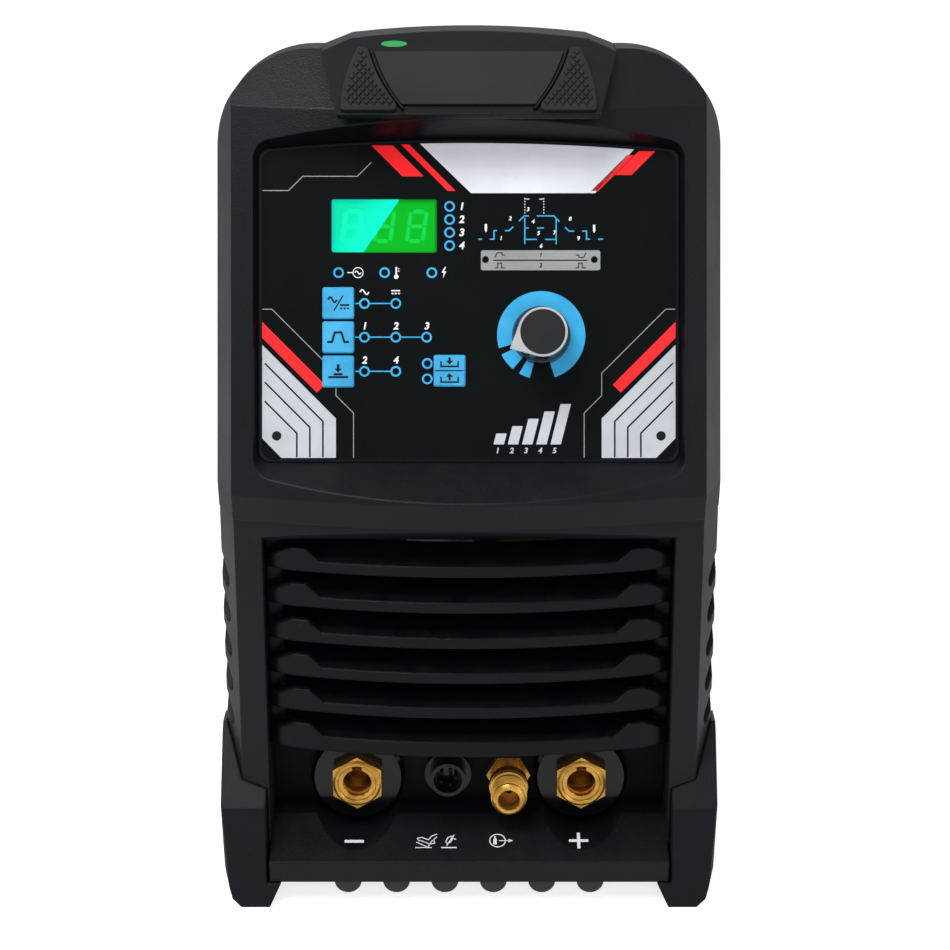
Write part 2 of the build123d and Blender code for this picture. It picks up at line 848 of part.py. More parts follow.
# ---------------------------------------------------------------- rear moulding
rear_bevel = 8.0
rear_pocket_width = body_width - 40.0
rear_pocket_low = 24.0
rear_pocket_high = rear_top - 24.0
rear_pocket_depth = 17.0
pocket_corner = 8.0
rear_plate = rear_face - rear_pocket_depth  # outer face of the rear plate
fan_height = 98.0
fan_size = 119.0
fan_bore = 56.0
fan_depth = 25.0
fitting_x = 52.0
switch_spot = (-fitting_x, rear_pocket_high - 56.0)
gland_spot = (-fitting_x, rear_pocket_high - 102.0)
inlet_spot = (fitting_x, rear_pocket_high - 56.0)
earth_spot = (fitting_x, rear_pocket_high - 102.0)
switch_cut = (22.0, 32.0)
gland_thread = 10.0
inlet_thread = 6.0
earth_radius = 3.0
seat_back = 20.0  # the handle seat stops short of the back face


def rear_form(inset):
    with BuildPart() as form:
        extrude(body_view(rear_face - inset, rear_top, inset), amount=rear_depth - 2 * inset)
        chamfer(form.faces().sort_by(Axis.Y)[-1].edges(), rear_bevel)
    return form.part


def rear_view(low, high, half, y):
    with BuildSketch(Plane.XZ.offset(-y)) as view:
        with Locations((0, (low + high) / 2)):
            RectangleRounded(2 * half, high - low, pocket_corner)
    return view.sketch


rear_outer = rear_form(0)

with BuildPart() as rear_tub:
    half = rear_pocket_width / 2 + wall
    extrude(
        rear_view(rear_pocket_low - wall, rear_pocket_high + wall, half, rear_face),
        amount=rear_pocket_depth + wall,
    )
    add(rear_outer, mode=Mode.INTERSECT)

with BuildPart() as rear_seat:
    extrude(
        block_view(rear_face - seat_back + wall, fit + wall, *rear_block),
        amount=rear_depth - seat_back + wall,
    )
    add(rear_outer, mode=Mode.INTERSECT)

with BuildPart() as rear_bezel:
    add(rear_outer)
    add(rear_form(wall), mode=Mode.SUBTRACT)
    with Locations((0, rear_edge, body_bottom + wall)):
        Box(
            body_width - 2 * wall,
            3 * wall,
            cover_top + fit - body_bottom - wall,
            align=(Align.CENTER, Align.CENTER, Align.MIN),
            mode=Mode.SUBTRACT,
        )
    add(rear_tub.part)
    add(rear_seat.part)
    extrude(
        rear_view(rear_pocket_low, rear_pocket_high, rear_pocket_width / 2, rear_face + 1),
        amount=rear_pocket_depth + 1,
        mode=Mode.SUBTRACT,
    )
    extrude(
        block_view(rear_face - seat_back, fit, *rear_block),
        amount=rear_depth - seat_back + wall,
        mode=Mode.SUBTRACT,
    )
    with BuildSketch(Plane.XZ.offset(-rear_plate)):
        with Locations((0, fan_height)):
            Circle(fan_bore)
        with Locations(switch_spot):
            Rectangle(switch_cut[0] + fit, switch_cut[1] + fit)
        with Locations(gland_spot):
            Circle(gland_thread + fit)
        with Locations(inlet_spot):
            Circle(inlet_thread + fit)
        with Locations(earth_spot):
            Circle(earth_radius + fit)
    extrude(amount=wall, mode=Mode.SUBTRACT)
write(rear_bezel, "rear_bezel")


def rear_plane(y):
    # plane across the machine facing backwards; its x axis points to -X
    return Plane(origin=(0, y, 0), x_dir=(-1, 0, 0), z_dir=(0, 1, 0))


def seen_from_back(spot):
    return (-spot[0], spot[1])


fan_y = rear_plate - wall - fan_depth
fan_plane = Plane(origin=(0, fan_y, fan_height), x_dir=(1, 0, 0), z_dir=(0, -1, 0)).offset(-fan_depth)
fan_hub = 20.0
fan_motor_depth = 5.0
blade_count = 7
blade_tip = fan_bore - 2.5

with BuildPart() as fan_frame:
    with BuildSketch(fan_plane):
        RectangleRounded(fan_size, fan_size, 6)
        Circle(fan_bore, mode=Mode.SUBTRACT)
        with GridLocations(105, 105, 2, 2):
            Circle(2.2, mode=Mode.SUBTRACT)
    extrude(amount=fan_depth)
    with BuildSketch(fan_plane):
        Circle(fan_hub)
        with PolarLocations(0, 4, start_angle=45):
            with Locations((fan_bore / 2 + 4, 0)):
                Rectangle(fan_bore, 3.5)
    extrude(amount=fan_motor_depth)
    with BuildSketch(fan_plane.offset(fan_motor_depth)):
        Circle(3)
    extrude(amount=4)
write(fan_frame, "fan_frame")

fan_blade_depth = fan_depth - fan_motor_depth - 3
with BuildPart() as fan_blade:
    with BuildSketch(Plane(origin=(fan_hub - 2, 0, 0), x_dir=(0, 1, 0), z_dir=(1, 0, 0))):
        Rectangle(19, 2, rotation=52)
    with BuildSketch(Plane(origin=(blade_tip, 0, 0), x_dir=(0, 1, 0), z_dir=(1, 0, 0))):
        Rectangle(27, 1.4, rotation=28)
    loft()

rotor_low = fan_motor_depth + 0.5
with BuildPart() as fan_rotor:
    with BuildSketch(fan_plane.offset(rotor_low)):
        Circle(fan_hub)
    extrude(amount=fan_blade_depth + 1)
    middle = fan_plane.offset(rotor_low + fan_blade_depth / 2 + 0.5)
    for index in range(blade_count):
        add(middle.location * Rot(0, 0, index * 360 / blade_count) * fan_blade.part)
    with BuildSketch(fan_plane.offset(rotor_low)):
        Circle(blade_tip)
    extrude(amount=fan_depth - rotor_low - 0.5, mode=Mode.INTERSECT)
    with BuildSketch(fan_plane.offset(rotor_low)):
        Circle(3.3)
    extrude(amount=4, mode=Mode.SUBTRACT)
write(fan_rotor, "fan_rotor")

guard_wire = 2.4
guard_rings = range(57, 10, -9)
guard_eye = 74.2  # from the fan's axis to the screw eyes
with BuildPart() as fan_guard:
    with BuildSketch(rear_plane(rear_plate)):
        with Locations((0, fan_height)):
            for radius in guard_rings:
                Circle(radius + 1)
                Circle(radius - 1, mode=Mode.SUBTRACT)
    extrude(amount=guard_wire)
    with BuildSketch(rear_plane(rear_plate)):
        with Locations((0, fan_height)):
            with PolarLocations(0, 4, start_angle=45):
                with Locations((36, 0)):
                    Rectangle(60, 3)
            with PolarLocations(guard_eye, 4, start_angle=45):
                Circle(6)
                Circle(2.2, mode=Mode.SUBTRACT)
            with PolarLocations(0, 4, start_angle=45):
                with Locations((64, 0)):
                    Rectangle(10, 6)
    extrude(amount=guard_wire)
write(fan_guard, "fan_guard")

switch_flange = 2.0
rocker_swing = 24.0
rocker_pivot = rear_plate - 2.0
rocker_half = 13.2
switch_rim = 1.2
switch_room = 18.0
with BuildPart() as switch_body:
    with BuildSketch(rear_plane(rear_plate)):
        with Locations(seen_from_back(switch_spot)):
            RectangleRounded(switch_cut[0] + 6, switch_cut[1] + 6, 2)
    extrude(amount=switch_flange)
    with BuildSketch(rear_plane(rear_plate)):
        with Locations(seen_from_back(switch_spot)):
            Rectangle(*switch_cut)
    extrude(amount=-22)
    with BuildSketch(rear_plane(rear_plate + switch_flange)):
        with Locations(seen_from_back(switch_spot)):
            Rectangle(switch_cut[0] - 2 * switch_rim, 2 * rocker_half + 2.6)
    extrude(amount=-switch_room, mode=Mode.SUBTRACT)
write(switch_body, "switch_body")

rocker_width = switch_cut[0] - 2 * switch_rim - 2 * fit
with BuildPart() as switch_rocker:
    with BuildSketch(side_plane(switch_spot[0] - rocker_width / 2)):
        with Locations(Location((rocker_pivot, switch_spot[1]), -rocker_swing / 2)):
            Polygon(
                (-7, -7),
                (1.5, -rocker_half),
                (5.6, -rocker_half),
                (3.6, 0),
                (5.6, rocker_half),
                (1.5, rocker_half),
                (-7, 7),
                align=None,
            )
    extrude(amount=rocker_width)
write(switch_rocker, "switch_rocker")

gland_bore = 5.0
gland_hex = 6.0
gland_cap = 14.0
with BuildPart() as cable_gland:
    with BuildSketch(rear_plane(rear_plate)):
        with Locations(seen_from_back(gland_spot)):
            RegularPolygon(12, 6, major_radius=False)
    extrude(amount=gland_hex)
    with BuildSketch(rear_plane(rear_plate + gland_hex)):
        with Locations(seen_from_back(gland_spot)):
            Circle(11.5)
    extrude(amount=gland_cap)
    chamfer(cable_gland.edges().group_by(Axis.Y)[-1], 3)
    with BuildSketch(rear_plane(rear_plate)):
        with Locations(seen_from_back(gland_spot)):
            Circle(gland_thread)
    extrude(amount=-gland_cap)
    with BuildSketch(rear_plane(rear_plate - gland_cap)):
        with Locations(seen_from_back(gland_spot)):
            Circle(gland_bore)
    extrude(amount=2 * gland_cap + 2 * gland_hex, mode=Mode.SUBTRACT)
write(cable_gland, "cable_gland")

with BuildPart() as panel_nuts:
    with BuildSketch(rear_plane(rear_plate - wall)):
        with Locations(seen_from_back(gland_spot)):
            RegularPolygon(13, 6, major_radius=False)
            Circle(gland_thread + 0.1, mode=Mode.SUBTRACT)
    extrude(amount=-nut_thickness)
    with BuildSketch(front_plane(plate_setback + plate_thickness)):
        with Locations(*socket_places):
            RegularPolygon(17, 6, major_radius=False)
            Circle(socket_neck_radius + 0.1, mode=Mode.SUBTRACT)
    extrude(amount=-nut_thickness)
write(panel_nuts, "panel_nuts")

inlet_bore = 2.4
inlet_end = rear_y - rim_setback
with BuildPart() as gas_inlet:
    with BuildSketch(rear_plane(rear_plate)):
        with Locations(seen_from_back(inlet_spot)):
            RegularPolygon(9, 6, major_radius=False)
    extrude(amount=6)
    with BuildSketch(rear_plane(rear_plate + 6)):
        with Locations(seen_from_back(inlet_spot)):
            Circle(4)
    extrude(amount=inlet_end - rear_plate - 6)
    for step in range(3):
        with BuildSketch(rear_plane(inlet_end - 15 + 5 * step)):
            with Locations(seen_from_back(inlet_spot)):
                Circle(4.9)
        extrude(amount=4, taper=10)
    with BuildSketch(rear_plane(rear_plate)):
        with Locations(seen_from_back(inlet_spot)):
            Circle(inlet_thread)
    extrude(amount=-12)
    with BuildSketch(rear_plane(rear_plate - 12)):
        with Locations(seen_from_back(inlet_spot)):
            Circle(inlet_bore)
    extrude(amount=40, mode=Mode.SUBTRACT)
write(gas_inlet, "gas_inlet")

with BuildPart() as earth_stud:
    with BuildSketch(rear_plane(rear_plate - 12)):
        with Locations(seen_from_back(earth_spot)):
            Circle(earth_radius)
    extrude(amount=30)
    for y in (rear_plate, rear_plate - wall - 5):
        with BuildSketch(rear_plane(y)):
            with Locations(seen_from_back(earth_spot)):
                RegularPolygon(5, 6, major_radius=False)
        extrude(amount=5)
write(earth_stud, "earth_stud")

# ---------------------------------------------------------------- cover and base
cover_half = body_width / 2 - wall - fit
cover_overlap = 8.0
cover_corner = 14.0
slot_width = 4.0
louvre_height = 120.0
screw_radius = 2.0
head_radius = 3.6
screw_height = 26.0
screw_inset = 30.0
screw_places = (front_edge + screw_inset, (front_edge + rear_edge) / 2, rear_edge - screw_inset)

with BuildPart() as sheet_cover:
    with BuildSketch(Plane.XZ.offset(-rear_edge - cover_overlap)) as skin:
        with Locations((0, (body_bottom + cover_top) / 2 + fit)):
            Rectangle(2 * cover_half, cover_top - body_bottom)
        fillet(skin.vertices().group_by(Axis.Y)[-1], cover_corner)
        offset(amount=-steel, mode=Mode.SUBTRACT)
        with Locations((0, body_bottom)):
            Rectangle(2 * (cover_half - steel), 30, mode=Mode.SUBTRACT)
    extrude(amount=rear_edge - front_edge + 2 * cover_overlap)
    with BuildSketch(side_plane(-cover_half - 1)):
        for bank in (front_edge + 65, rear_edge - 55):
            with Locations((bank, louvre_height)):
                with GridLocations(12, 1, 5, 1):
                    SlotOverall(70, slot_width, rotation=90)
        with Locations(*[(y, screw_height) for y in screw_places]):
            Circle(screw_radius + fit)
    extrude(amount=2 * cover_half + 2, mode=Mode.SUBTRACT)
    # the bottom corners clear the floors of the two mouldings
    for y in (front_edge - cover_overlap, rear_edge + cover_overlap):
        with Locations((0, y, body_bottom)):
            Box(
                2 * cover_half,
                2 * (cover_overlap + fit),
                wall + fit,
                align=(Align.CENTER, Align.CENTER, Align.MIN),
                mode=Mode.SUBTRACT,
            )
write(sheet_cover, "sheet_cover")

pan_thickness = 1.6
pan_flange = 30.0
pan_half = cover_half - steel - fit
foot_inner = body_width / 2 - 25.0
foot_reach = 75.0
rib_count = 6
rib_pitch = 21.4
rib_radius = 6.0
rib_setback = 9.0
with BuildPart() as base_pan:
    with BuildSketch(Plane.XY.offset(body_bottom - pan_thickness)):
        Rectangle(2 * pan_half, total_length - 2 * 16)
        for end in (-1, 1):
            for side in (-1, 1):
                with Locations((side * total_width / 2, end * total_length / 2)):
                    Rectangle(total_width - 2 * foot_inner + 2 * fit, 2 * foot_reach + 2 * fit, mode=Mode.SUBTRACT)
    extrude(amount=pan_thickness)
    for side in (-1, 1):
        with Locations((side * (pan_half - pan_thickness / 2), (front_edge + rear_edge) / 2, body_bottom)):
            Box(
                pan_thickness,
                rear_edge - front_edge - 4,
                pan_flange,
                align=(Align.CENTER, Align.CENTER, Align.MIN),
            )
    with BuildSketch(Plane.XZ.offset(-front_y - rib_setback)):
        with Locations((0, body_bottom)):
            with GridLocations(rib_pitch, 1, rib_count, 1):
                Circle(rib_radius)
        with Locations((0, body_bottom)):
            Rectangle(total_width, 2 * rib_radius, align=(Align.CENTER, Align.MIN), mode=Mode.SUBTRACT)
    extrude(amount=-(total_length - 2 * rib_setback))
    with BuildSketch(side_plane(-cover_half)):
        with Locations(*[(y, screw_height) for y in screw_places]):
            Circle(screw_radius + fit)
    extrude(amount=2 * cover_half, mode=Mode.SUBTRACT)
write(base_pan, "base_pan")

with BuildPart() as cover_screws:
    for side in (-1, 1):
        plane = Plane(origin=(side * cover_half, 0, screw_height), x_dir=(0, 1, 0), z_dir=(side, 0, 0))
        with BuildSketch(plane):
            with Locations(*[(y, 0) for y in screw_places]):
                Circle(head_radius)
        extrude(amount=1.8)
        with BuildSketch(plane):
            with Locations(*[(y, 0) for y in screw_places]):
                Circle(screw_radius)
        extrude(amount=-6)
write(cover_screws, "cover_screws")

# ---------------------------------------------------------------- feet
foot_setback = 4.6
foot_bend = (11.5, 44.6)  # the front face leans back further above this point
foot_round = 14.0
foot_top = 73.6
foot_side_points = [
    (foot_setback, 0),
    foot_bend,
    (40.5, foot_top),
    (52, foot_top),
    (foot_reach, 54),
    (foot_reach, 6),
    (foot_reach - 6, 0),
]
foot_bevel = 5.0
foot_view_points = [
    (foot_inner + 5.0, 0),
    (foot_inner + 17.4, 0),
    (foot_inner + 21.4, 3.8),
    (foot_inner + 24.9, 17),
    (total_width / 2, 70),
    (total_width / 2, 90),
    (foot_inner + 6.4, 90),
    (foot_inner + 6.4, body_bottom - fit),
    (foot_inner, body_bottom - fit),
]
with BuildPart() as foot_block:
    with BuildSketch(side_plane(foot_inner - 1)) as side_view:
        Polygon(*setback_points(foot_side_points), align=None)
        bend = (foot_inner - 1, front_y + foot_bend[0], foot_bend[1])
        fillet(side_view.vertices().sort_by_distance(bend)[0], foot_round)
    extrude(amount=total_width / 2 - foot_inner + 1)
    with BuildSketch(Plane.XZ.offset(-front_y)):
        Polygon(*foot_view_points, align=None)
    extrude(amount=-foot_reach - 1, mode=Mode.INTERSECT)
    with BuildSketch(Plane.XY):
        Polygon(
            (foot_inner, front_y),
            (total_width / 2 - foot_bevel, front_y),
            (total_width / 2 - foot_bevel, front_y + foot_setback),
            (total_width / 2, front_y + foot_setback + 2 * foot_bevel),
            (total_width / 2, front_y + foot_reach),
            (foot_inner, front_y + foot_reach),
            align=None,
        )
    extrude(amount=90, mode=Mode.INTERSECT)

with BuildPart() as front_foot_right:
    add(foot_block.part)
    extrude(plan_outline(body_bottom - fit, pillar_setback, -fit), amount=100, mode=Mode.SUBTRACT)
write(front_foot_right, "front_foot_right")

with BuildPart() as front_foot_left:
    add(mirror(front_foot_right.part, about=Plane.YZ, mode=Mode.PRIVATE))
write(front_foot_left, "front_foot_left")

with BuildPart() as rear_foot_right:
    add(mirror(foot_block.part, about=Plane.XZ, mode=Mode.PRIVATE))
    add(rear_form(-fit), mode=Mode.SUBTRACT)
    with Locations((0, 0, body_bottom - fit)):
        Box(
            2 * (cover_half + fit),
            2 * rear_edge + 4,
            100,
            align=(Align.CENTER, Align.CENTER, Align.MIN),
            mode=Mode.SUBTRACT,
        )
write(rear_foot_right, "rear_foot_right")

with BuildPart() as rear_foot_left:
    add(mirror(rear_foot_right.part, about=Plane.YZ, mode=Mode.PRIVATE))
write(rear_foot_left, "rear_foot_left")

# ---------------------------------------------------------------- handle
grip_width = 38.0
grip_height = 28.0
grip_round = 10.0
grip_front = front_edge + 41.0
grip_back = rear_edge - 37.0
grip_fall = 0.12  # it falls towards the lower rear, per unit of length
core_width = 28.0
core_height = 19.0
core_round = 6.0
neck_start_half = 48.0
block_back = rear_face - seat_back - fit
face_slope = 0.828  # rise of the block's sloping front over its run
face_low = block_bottom + 1.1
face_run = (total_height - face_low) / face_slope
face_round = 24.0
block_points = [
    (block_setback, face_low),
    (block_setback + face_run, total_height),
    (160, total_height),
    (160, block_bottom),
    (block_setback + 7.0, block_bottom),
    (block_setback + 3.0, block_bottom - block_lip),
]


def grip_middle(y):
    return total_height - block_arch - grip_fall * (y - front_edge) - grip_height / 2


def grip_section(y, width, height, corner):
    with BuildSketch(Plane.XZ.offset(-y)) as section:
        with Locations((0, grip_middle(y))):
            RectangleRounded(width, height, corner)
    return section.sketch


with BuildPart() as handle:
    front_view = block_view(front_edge, 0, block_bottom - block_lip, body_top, total_height)
    extrude(front_view, amount=front_depth - block_setback)
    with BuildSketch(side_plane(-block_brim_half - 1)) as profile:
        Polygon(*setback_points(block_points), align=None)
        crest = (-block_brim_half - 1, front_y + block_setback + face_run, total_height)
        fillet(profile.vertices().sort_by_distance(crest)[0], face_round)
    extrude(amount=2 * block_brim_half + 2, mode=Mode.INTERSECT)
    extrude(block_view(block_back, 0, *rear_block), amount=block_back - rear_edge)
    for start, end in ((front_edge, grip_front), (rear_edge, grip_back)):
        wide = grip_section(start, 2 * neck_start_half, grip_height, core_round)
        narrow = grip_section(end, grip_width, grip_height, grip_round)
        loft([wide, narrow])
    loft([grip_section(y, core_width, core_height, core_round) for y in (grip_front, grip_back)])
write(handle, "handle")

with BuildPart() as handle_grip:
    ends = (grip_front + fit, grip_back - fit)
    loft([grip_section(y, grip_width, grip_height, grip_round) for y in ends])
    loft(
        [grip_section(y, core_width + 2 * fit, core_height + 2 * fit, core_round) for y in ends],
        mode=Mode.SUBTRACT,
    )
write(handle_grip, "handle_grip")

badge_start = 4.8  # along the slope, from the lip to the badge
badge_height = 29.1
face_angle = math.atan(face_slope)
badge_reach = badge_start + badge_height / 2
badge_face = Plane(
    origin=(
        0,
        front_y + block_setback + badge_reach * math.cos(face_angle),
        face_low + badge_reach * math.sin(face_angle),
    ),
    x_dir=(1, 0, 0),
    z_dir=(0, -math.sin(face_angle), math.cos(face_angle)),
)
badge_half_height = badge_height / 2
badge_top_half = 39.5
badge_bottom_half = 27.5
badge_bulge = 1.4  # its sides bow outwards


def badge_side(side, gap):
    # one side of the badge from its foot to its head, that far outside it
    bottom = side * (badge_bottom_half + gap)
    top = side * (badge_top_half + gap)
    middle = (bottom + top) / 2 + side * badge_bulge
    return ThreePointArc((bottom, -badge_half_height), (middle, 0), (top, badge_half_height))


with BuildPart() as badge_plate:
    with BuildSketch(badge_face):
        with BuildLine():
            left = badge_side(-1, 0)
            right = badge_side(1, 0)
            Line(left @ 0, right @ 0)
            Line(left @ 1, right @ 1)
        make_face()
    extrude(amount=1.2)
write(badge_plate, "badge_plate")

pad_gap = 2.4
pad_thickness = 1.6
pad_drop = 3.4  # how far the pads reach below and above the badge
pad_lift = 2.0
pad_low_half = block_foot_half - 1.0
pad_high_half = 46.5
pad_bulge = 1.6
with BuildPart() as grip_pads:
    for side in (-1, 1):
        with BuildSketch(badge_face) as pad:
            with BuildLine():
                inner = badge_side(side, pad_gap)
                outer = ThreePointArc(
                    (side * pad_low_half, -badge_half_height - pad_drop),
                    (side * ((pad_low_half + pad_high_half) / 2 + pad_bulge), 0),
                    (side * pad_high_half, badge_half_height + pad_lift),
                )
                head = (side * (badge_top_half + pad_gap + 1.0), badge_half_height + pad_lift)
                heel = (side * (badge_bottom_half + pad_gap), -badge_half_height - pad_drop)
                Polyline(inner @ 0, heel, outer @ 0)
                Polyline(inner @ 1, head, outer @ 1)
            make_face()
            fillet(pad.vertices(), 1.5)
        extrude(amount=pad_thickness)
write(grip_pads, "grip_pads")

# ---------------------------------------------------------------- inside
floor = body_bottom
sink_low = floor + 8.0
sink_height = 50.0
sink_width = 68.0
sink_gap = 20.0
sink_base = 8.0
sink_front = -95.0
sink_back = 95.0
fin_count = 9
fin_thickness = 2.0
sink_top = sink_low + sink_height
sink_middle = (sink_width + sink_gap) / 2

with BuildPart() as heatsinks:
    with BuildSketch(Plane.XZ.offset(-sink_back)):
        for side in (-1, 1):
            with Locations((side * sink_middle, sink_top - sink_base / 2)):
                Rectangle(sink_width, sink_base)
            with Locations((side * sink_middle, sink_low + (sink_height - sink_base) / 2)):
                with GridLocations((sink_width - fin_thickness) / (fin_count - 1), 1, fin_count, 1):
                    Rectangle(fin_thickness, sink_height - sink_base)
    extrude(amount=sink_back - sink_front)
write(heatsinks, "heatsinks")

transistor_height = 5.0
with BuildPart() as power_transistors:
    with BuildSketch(Plane.XY.offset(sink_top)):
        for side in (-1, 1):
            with Locations((side * sink_middle, 0)):
                with GridLocations(34, 40, 2, 4):
                    Rectangle(16, 21)
    extrude(amount=transistor_height)
write(power_transistors, "power_transistors")

pcb_low = sink_top + transistor_height + 1
pcb_top = pcb_low + board_thickness
pcb_width = body_width - 44.0
with BuildPart() as power_board:
    with BuildSketch(Plane.XY.offset(pcb_low)):
        Rectangle(pcb_width, sink_back - sink_front + 6)
    extrude(amount=board_thickness)
write(power_board, "power_board")

with BuildPart() as stack_spacers:
    with BuildSketch(Plane.XY.offset(floor)):
        for side in (-1, 1):
            with Locations((side * sink_middle, 0)):
                with GridLocations(sink_width - 16, sink_back - sink_front - 20, 2, 2):
                    Circle(5)
    extrude(amount=sink_low - floor)
    with BuildSketch(Plane.XY.offset(sink_top)):
        with GridLocations(2 * sink_middle + sink_width - 10, sink_back - sink_front - 10, 2, 2):
            Circle(3)
    extrude(amount=pcb_low - sink_top)
write(stack_spacers, "stack_spacers")

capacitor_radius = 17.5
with BuildPart() as main_capacitors:
    with BuildSketch(Plane.XY.offset(pcb_top)):
        with Locations((-52, 0)):
            with GridLocations(1, 2 * capacitor_radius + 5, 1, 3):
                Circle(capacitor_radius)
    extrude(amount=50)
    chamfer(main_capacitors.edges().group_by(Axis.Z)[-1], 1.5)
write(main_capacitors, "main_capacitors")

core_size = (64.0, 48.0, 60.0)
core_place = (34.0, 42.0)
with BuildPart() as transformer_core:
    with BuildSketch(Plane.XZ.offset(-core_place[1] - core_size[1] / 2)):
        with Locations((core_place[0], pcb_top + core_size[2] / 2)):
            Rectangle(core_size[0], core_size[2])
            with GridLocations(core_size[0] / 2, 1, 2, 1):
                Rectangle(core_size[0] / 2 - 20, core_size[2] - 20, mode=Mode.SUBTRACT)
    extrude(amount=core_size[1])
write(transformer_core, "transformer_core")

with BuildPart() as transformer_winding:
    with BuildSketch(Plane.XY.offset(pcb_top + 11)):
        with Locations(core_place):
            RectangleRounded(42, core_size[1] + 20, 8)
            Rectangle(20 + 2 * fit, core_size[1] + 2 * fit, mode=Mode.SUBTRACT)
    extrude(amount=core_size[2] - 22)
write(transformer_winding, "transformer_winding")

choke_place = (40.0, -50.0)
with BuildPart() as output_choke:
    with BuildSketch(Plane.XZ.offset(-choke_place[1])):
        with Locations((choke_place[0] + 19, pcb_top + 11)):
            RectangleRounded(18, 22, 8)
    revolve(axis=Axis((choke_place[0], choke_place[1], 0), (0, 0, 1)))
write(output_choke, "output_choke")

# flat copper leads from the socket studs to the board
stud_end = front_y + hex_front + hex_length + barrel_length + stud_length
lead_thickness = 3.0
lead_width = 20.0
lead_top = pcb_top + 8.0
with BuildPart() as output_leads:
    for side in (-1, 1):
        x = side * socket_spacing / 2
        with BuildSketch(side_plane(x - lead_width / 2)):
            Polygon(
                (stud_end, connector_height - 8),
                (stud_end + lead_thickness, connector_height - 8),
                (stud_end + lead_thickness, lead_top - lead_thickness),
                (sink_front + 2, lead_top - lead_thickness),
                (sink_front + 2, pcb_top),
                (sink_front + 14, pcb_top),
                (sink_front + 14, lead_top),
                (stud_end, lead_top),
                align=None,
            )
        extrude(amount=lead_width)
write(output_leads, "output_leads")

valve_back = rear_plate - wall - 9
valve_length = 34.0
with BuildPart() as solenoid_valve:
    with BuildSketch(rear_plane(valve_back)):
        with Locations(seen_from_back(inlet_spot)):
            Rectangle(24, 24)
    extrude(amount=-valve_length)
    with BuildSketch(rear_plane(valve_back - 4)):
        with Locations(seen_from_back((inlet_spot[0], inlet_spot[1] + 26))):
            RectangleRounded(26, 28, 3)
    extrude(amount=-valve_length + 8)
    with BuildSketch(rear_plane(valve_back - valve_length)):
        with Locations(seen_from_back(inlet_spot)):
            Circle(3)
    extrude(amount=-8)
write(solenoid_valve, "solenoid_valve")

hose_radius = 3.2
hose_bend = 16.0
hose_start = valve_back - valve_length - 8
hose_end = front_y + plate_setback + 22
hose_side = body_width / 2 - 18.0
hose_front = front_edge + 13.0
hose_points = [
    (inlet_spot[0], hose_start, inlet_spot[1]),
    (inlet_spot[0], hose_start - 30, inlet_spot[1]),
    (hose_side, hose_start - 70, inlet_spot[1]),
    (hose_side, hose_front, inlet_spot[1]),
    (hose_side, hose_front, connector_height),
    (gas_x, hose_front, connector_height),
    (gas_x, hose_end, connector_height),
]
with BuildPart() as gas_hose:
    with BuildLine() as route:
        FilletPolyline(*hose_points, radius=hose_bend)
    with BuildSketch(Plane(origin=hose_points[0], x_dir=(1, 0, 0), z_dir=(0, -1, 0))):
        Circle(hose_radius)
    sweep(path=route.line)
write(gas_hose, "gas_hose")
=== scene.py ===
import json
import math

import bmesh
import bpy
from mathutils import Matrix, Vector


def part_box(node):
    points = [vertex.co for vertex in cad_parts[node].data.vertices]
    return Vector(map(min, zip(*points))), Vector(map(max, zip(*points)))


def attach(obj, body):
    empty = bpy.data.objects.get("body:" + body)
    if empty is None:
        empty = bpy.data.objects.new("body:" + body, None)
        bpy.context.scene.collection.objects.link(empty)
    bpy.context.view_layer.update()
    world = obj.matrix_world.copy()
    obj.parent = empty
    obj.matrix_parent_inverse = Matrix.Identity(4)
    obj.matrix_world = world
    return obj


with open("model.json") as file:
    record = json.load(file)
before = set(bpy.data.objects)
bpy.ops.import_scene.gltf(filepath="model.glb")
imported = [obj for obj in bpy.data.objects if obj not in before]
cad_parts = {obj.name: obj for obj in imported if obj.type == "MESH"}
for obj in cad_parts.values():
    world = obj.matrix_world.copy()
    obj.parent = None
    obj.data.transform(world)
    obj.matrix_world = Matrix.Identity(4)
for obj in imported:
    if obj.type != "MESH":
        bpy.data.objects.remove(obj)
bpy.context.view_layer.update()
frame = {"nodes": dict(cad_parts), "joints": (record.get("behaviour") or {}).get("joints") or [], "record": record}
nodes = frame["nodes"]
mm = 0.001
print("frame loaded,", len(nodes), "nodes")


# places, all measured from the frame
acrossAxis = Vector((1, 0, 0))
knobJoint = next(joint for joint in frame["joints"] if joint["name"] == "knob_turn")
rimSetback = 1.8  # the rim stands this far behind the nose line
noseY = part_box("front_bezel")[0].y - rimSetback * mm


def placeOf(origin, across, up):  # a face as a matrix: x across it, y up it, z out of it
    out = across.cross(up)
    face = Matrix((across, up, out)).transposed().to_4x4()
    return Matrix.Translation(origin) @ face


def setbackPoint(setback, height, across=0):
    return Vector((across * mm, noseY + setback * mm, height * mm))


def slopingFace(low, high):  # a face that rises from one setback and height to another
    start, end = setbackPoint(*low), setbackPoint(*high)
    return placeOf((start + end) / 2, acrossAxis, (end - start).normalized())


panel = {
    "knobSpot": (30.5, -14.6),
    "overlayFace": 0.5,
    "halfWidth": 87.5,
    "sideTop": 62.7,
    "archRise": 4.2,
}
panelOut = Vector(knobJoint["axis"]).normalized()
panelUp = panelOut.cross(acrossAxis)
panelOrigin = (
    Vector(knobJoint["pos_m"])
    - acrossAxis * panel["knobSpot"][0] * mm
    - panelUp * panel["knobSpot"][1] * mm
)
panelFace = placeOf(panelOrigin, acrossAxis, panelUp)


# colours and shared shader groups
def srgb(red, green, blue):
    def linear(value):
        value = value / 255
        return value / 12.92 if value <= 0.04045 else ((value + 0.055) / 1.055) ** 2.4

    return (linear(red), linear(green), linear(blue), 1)


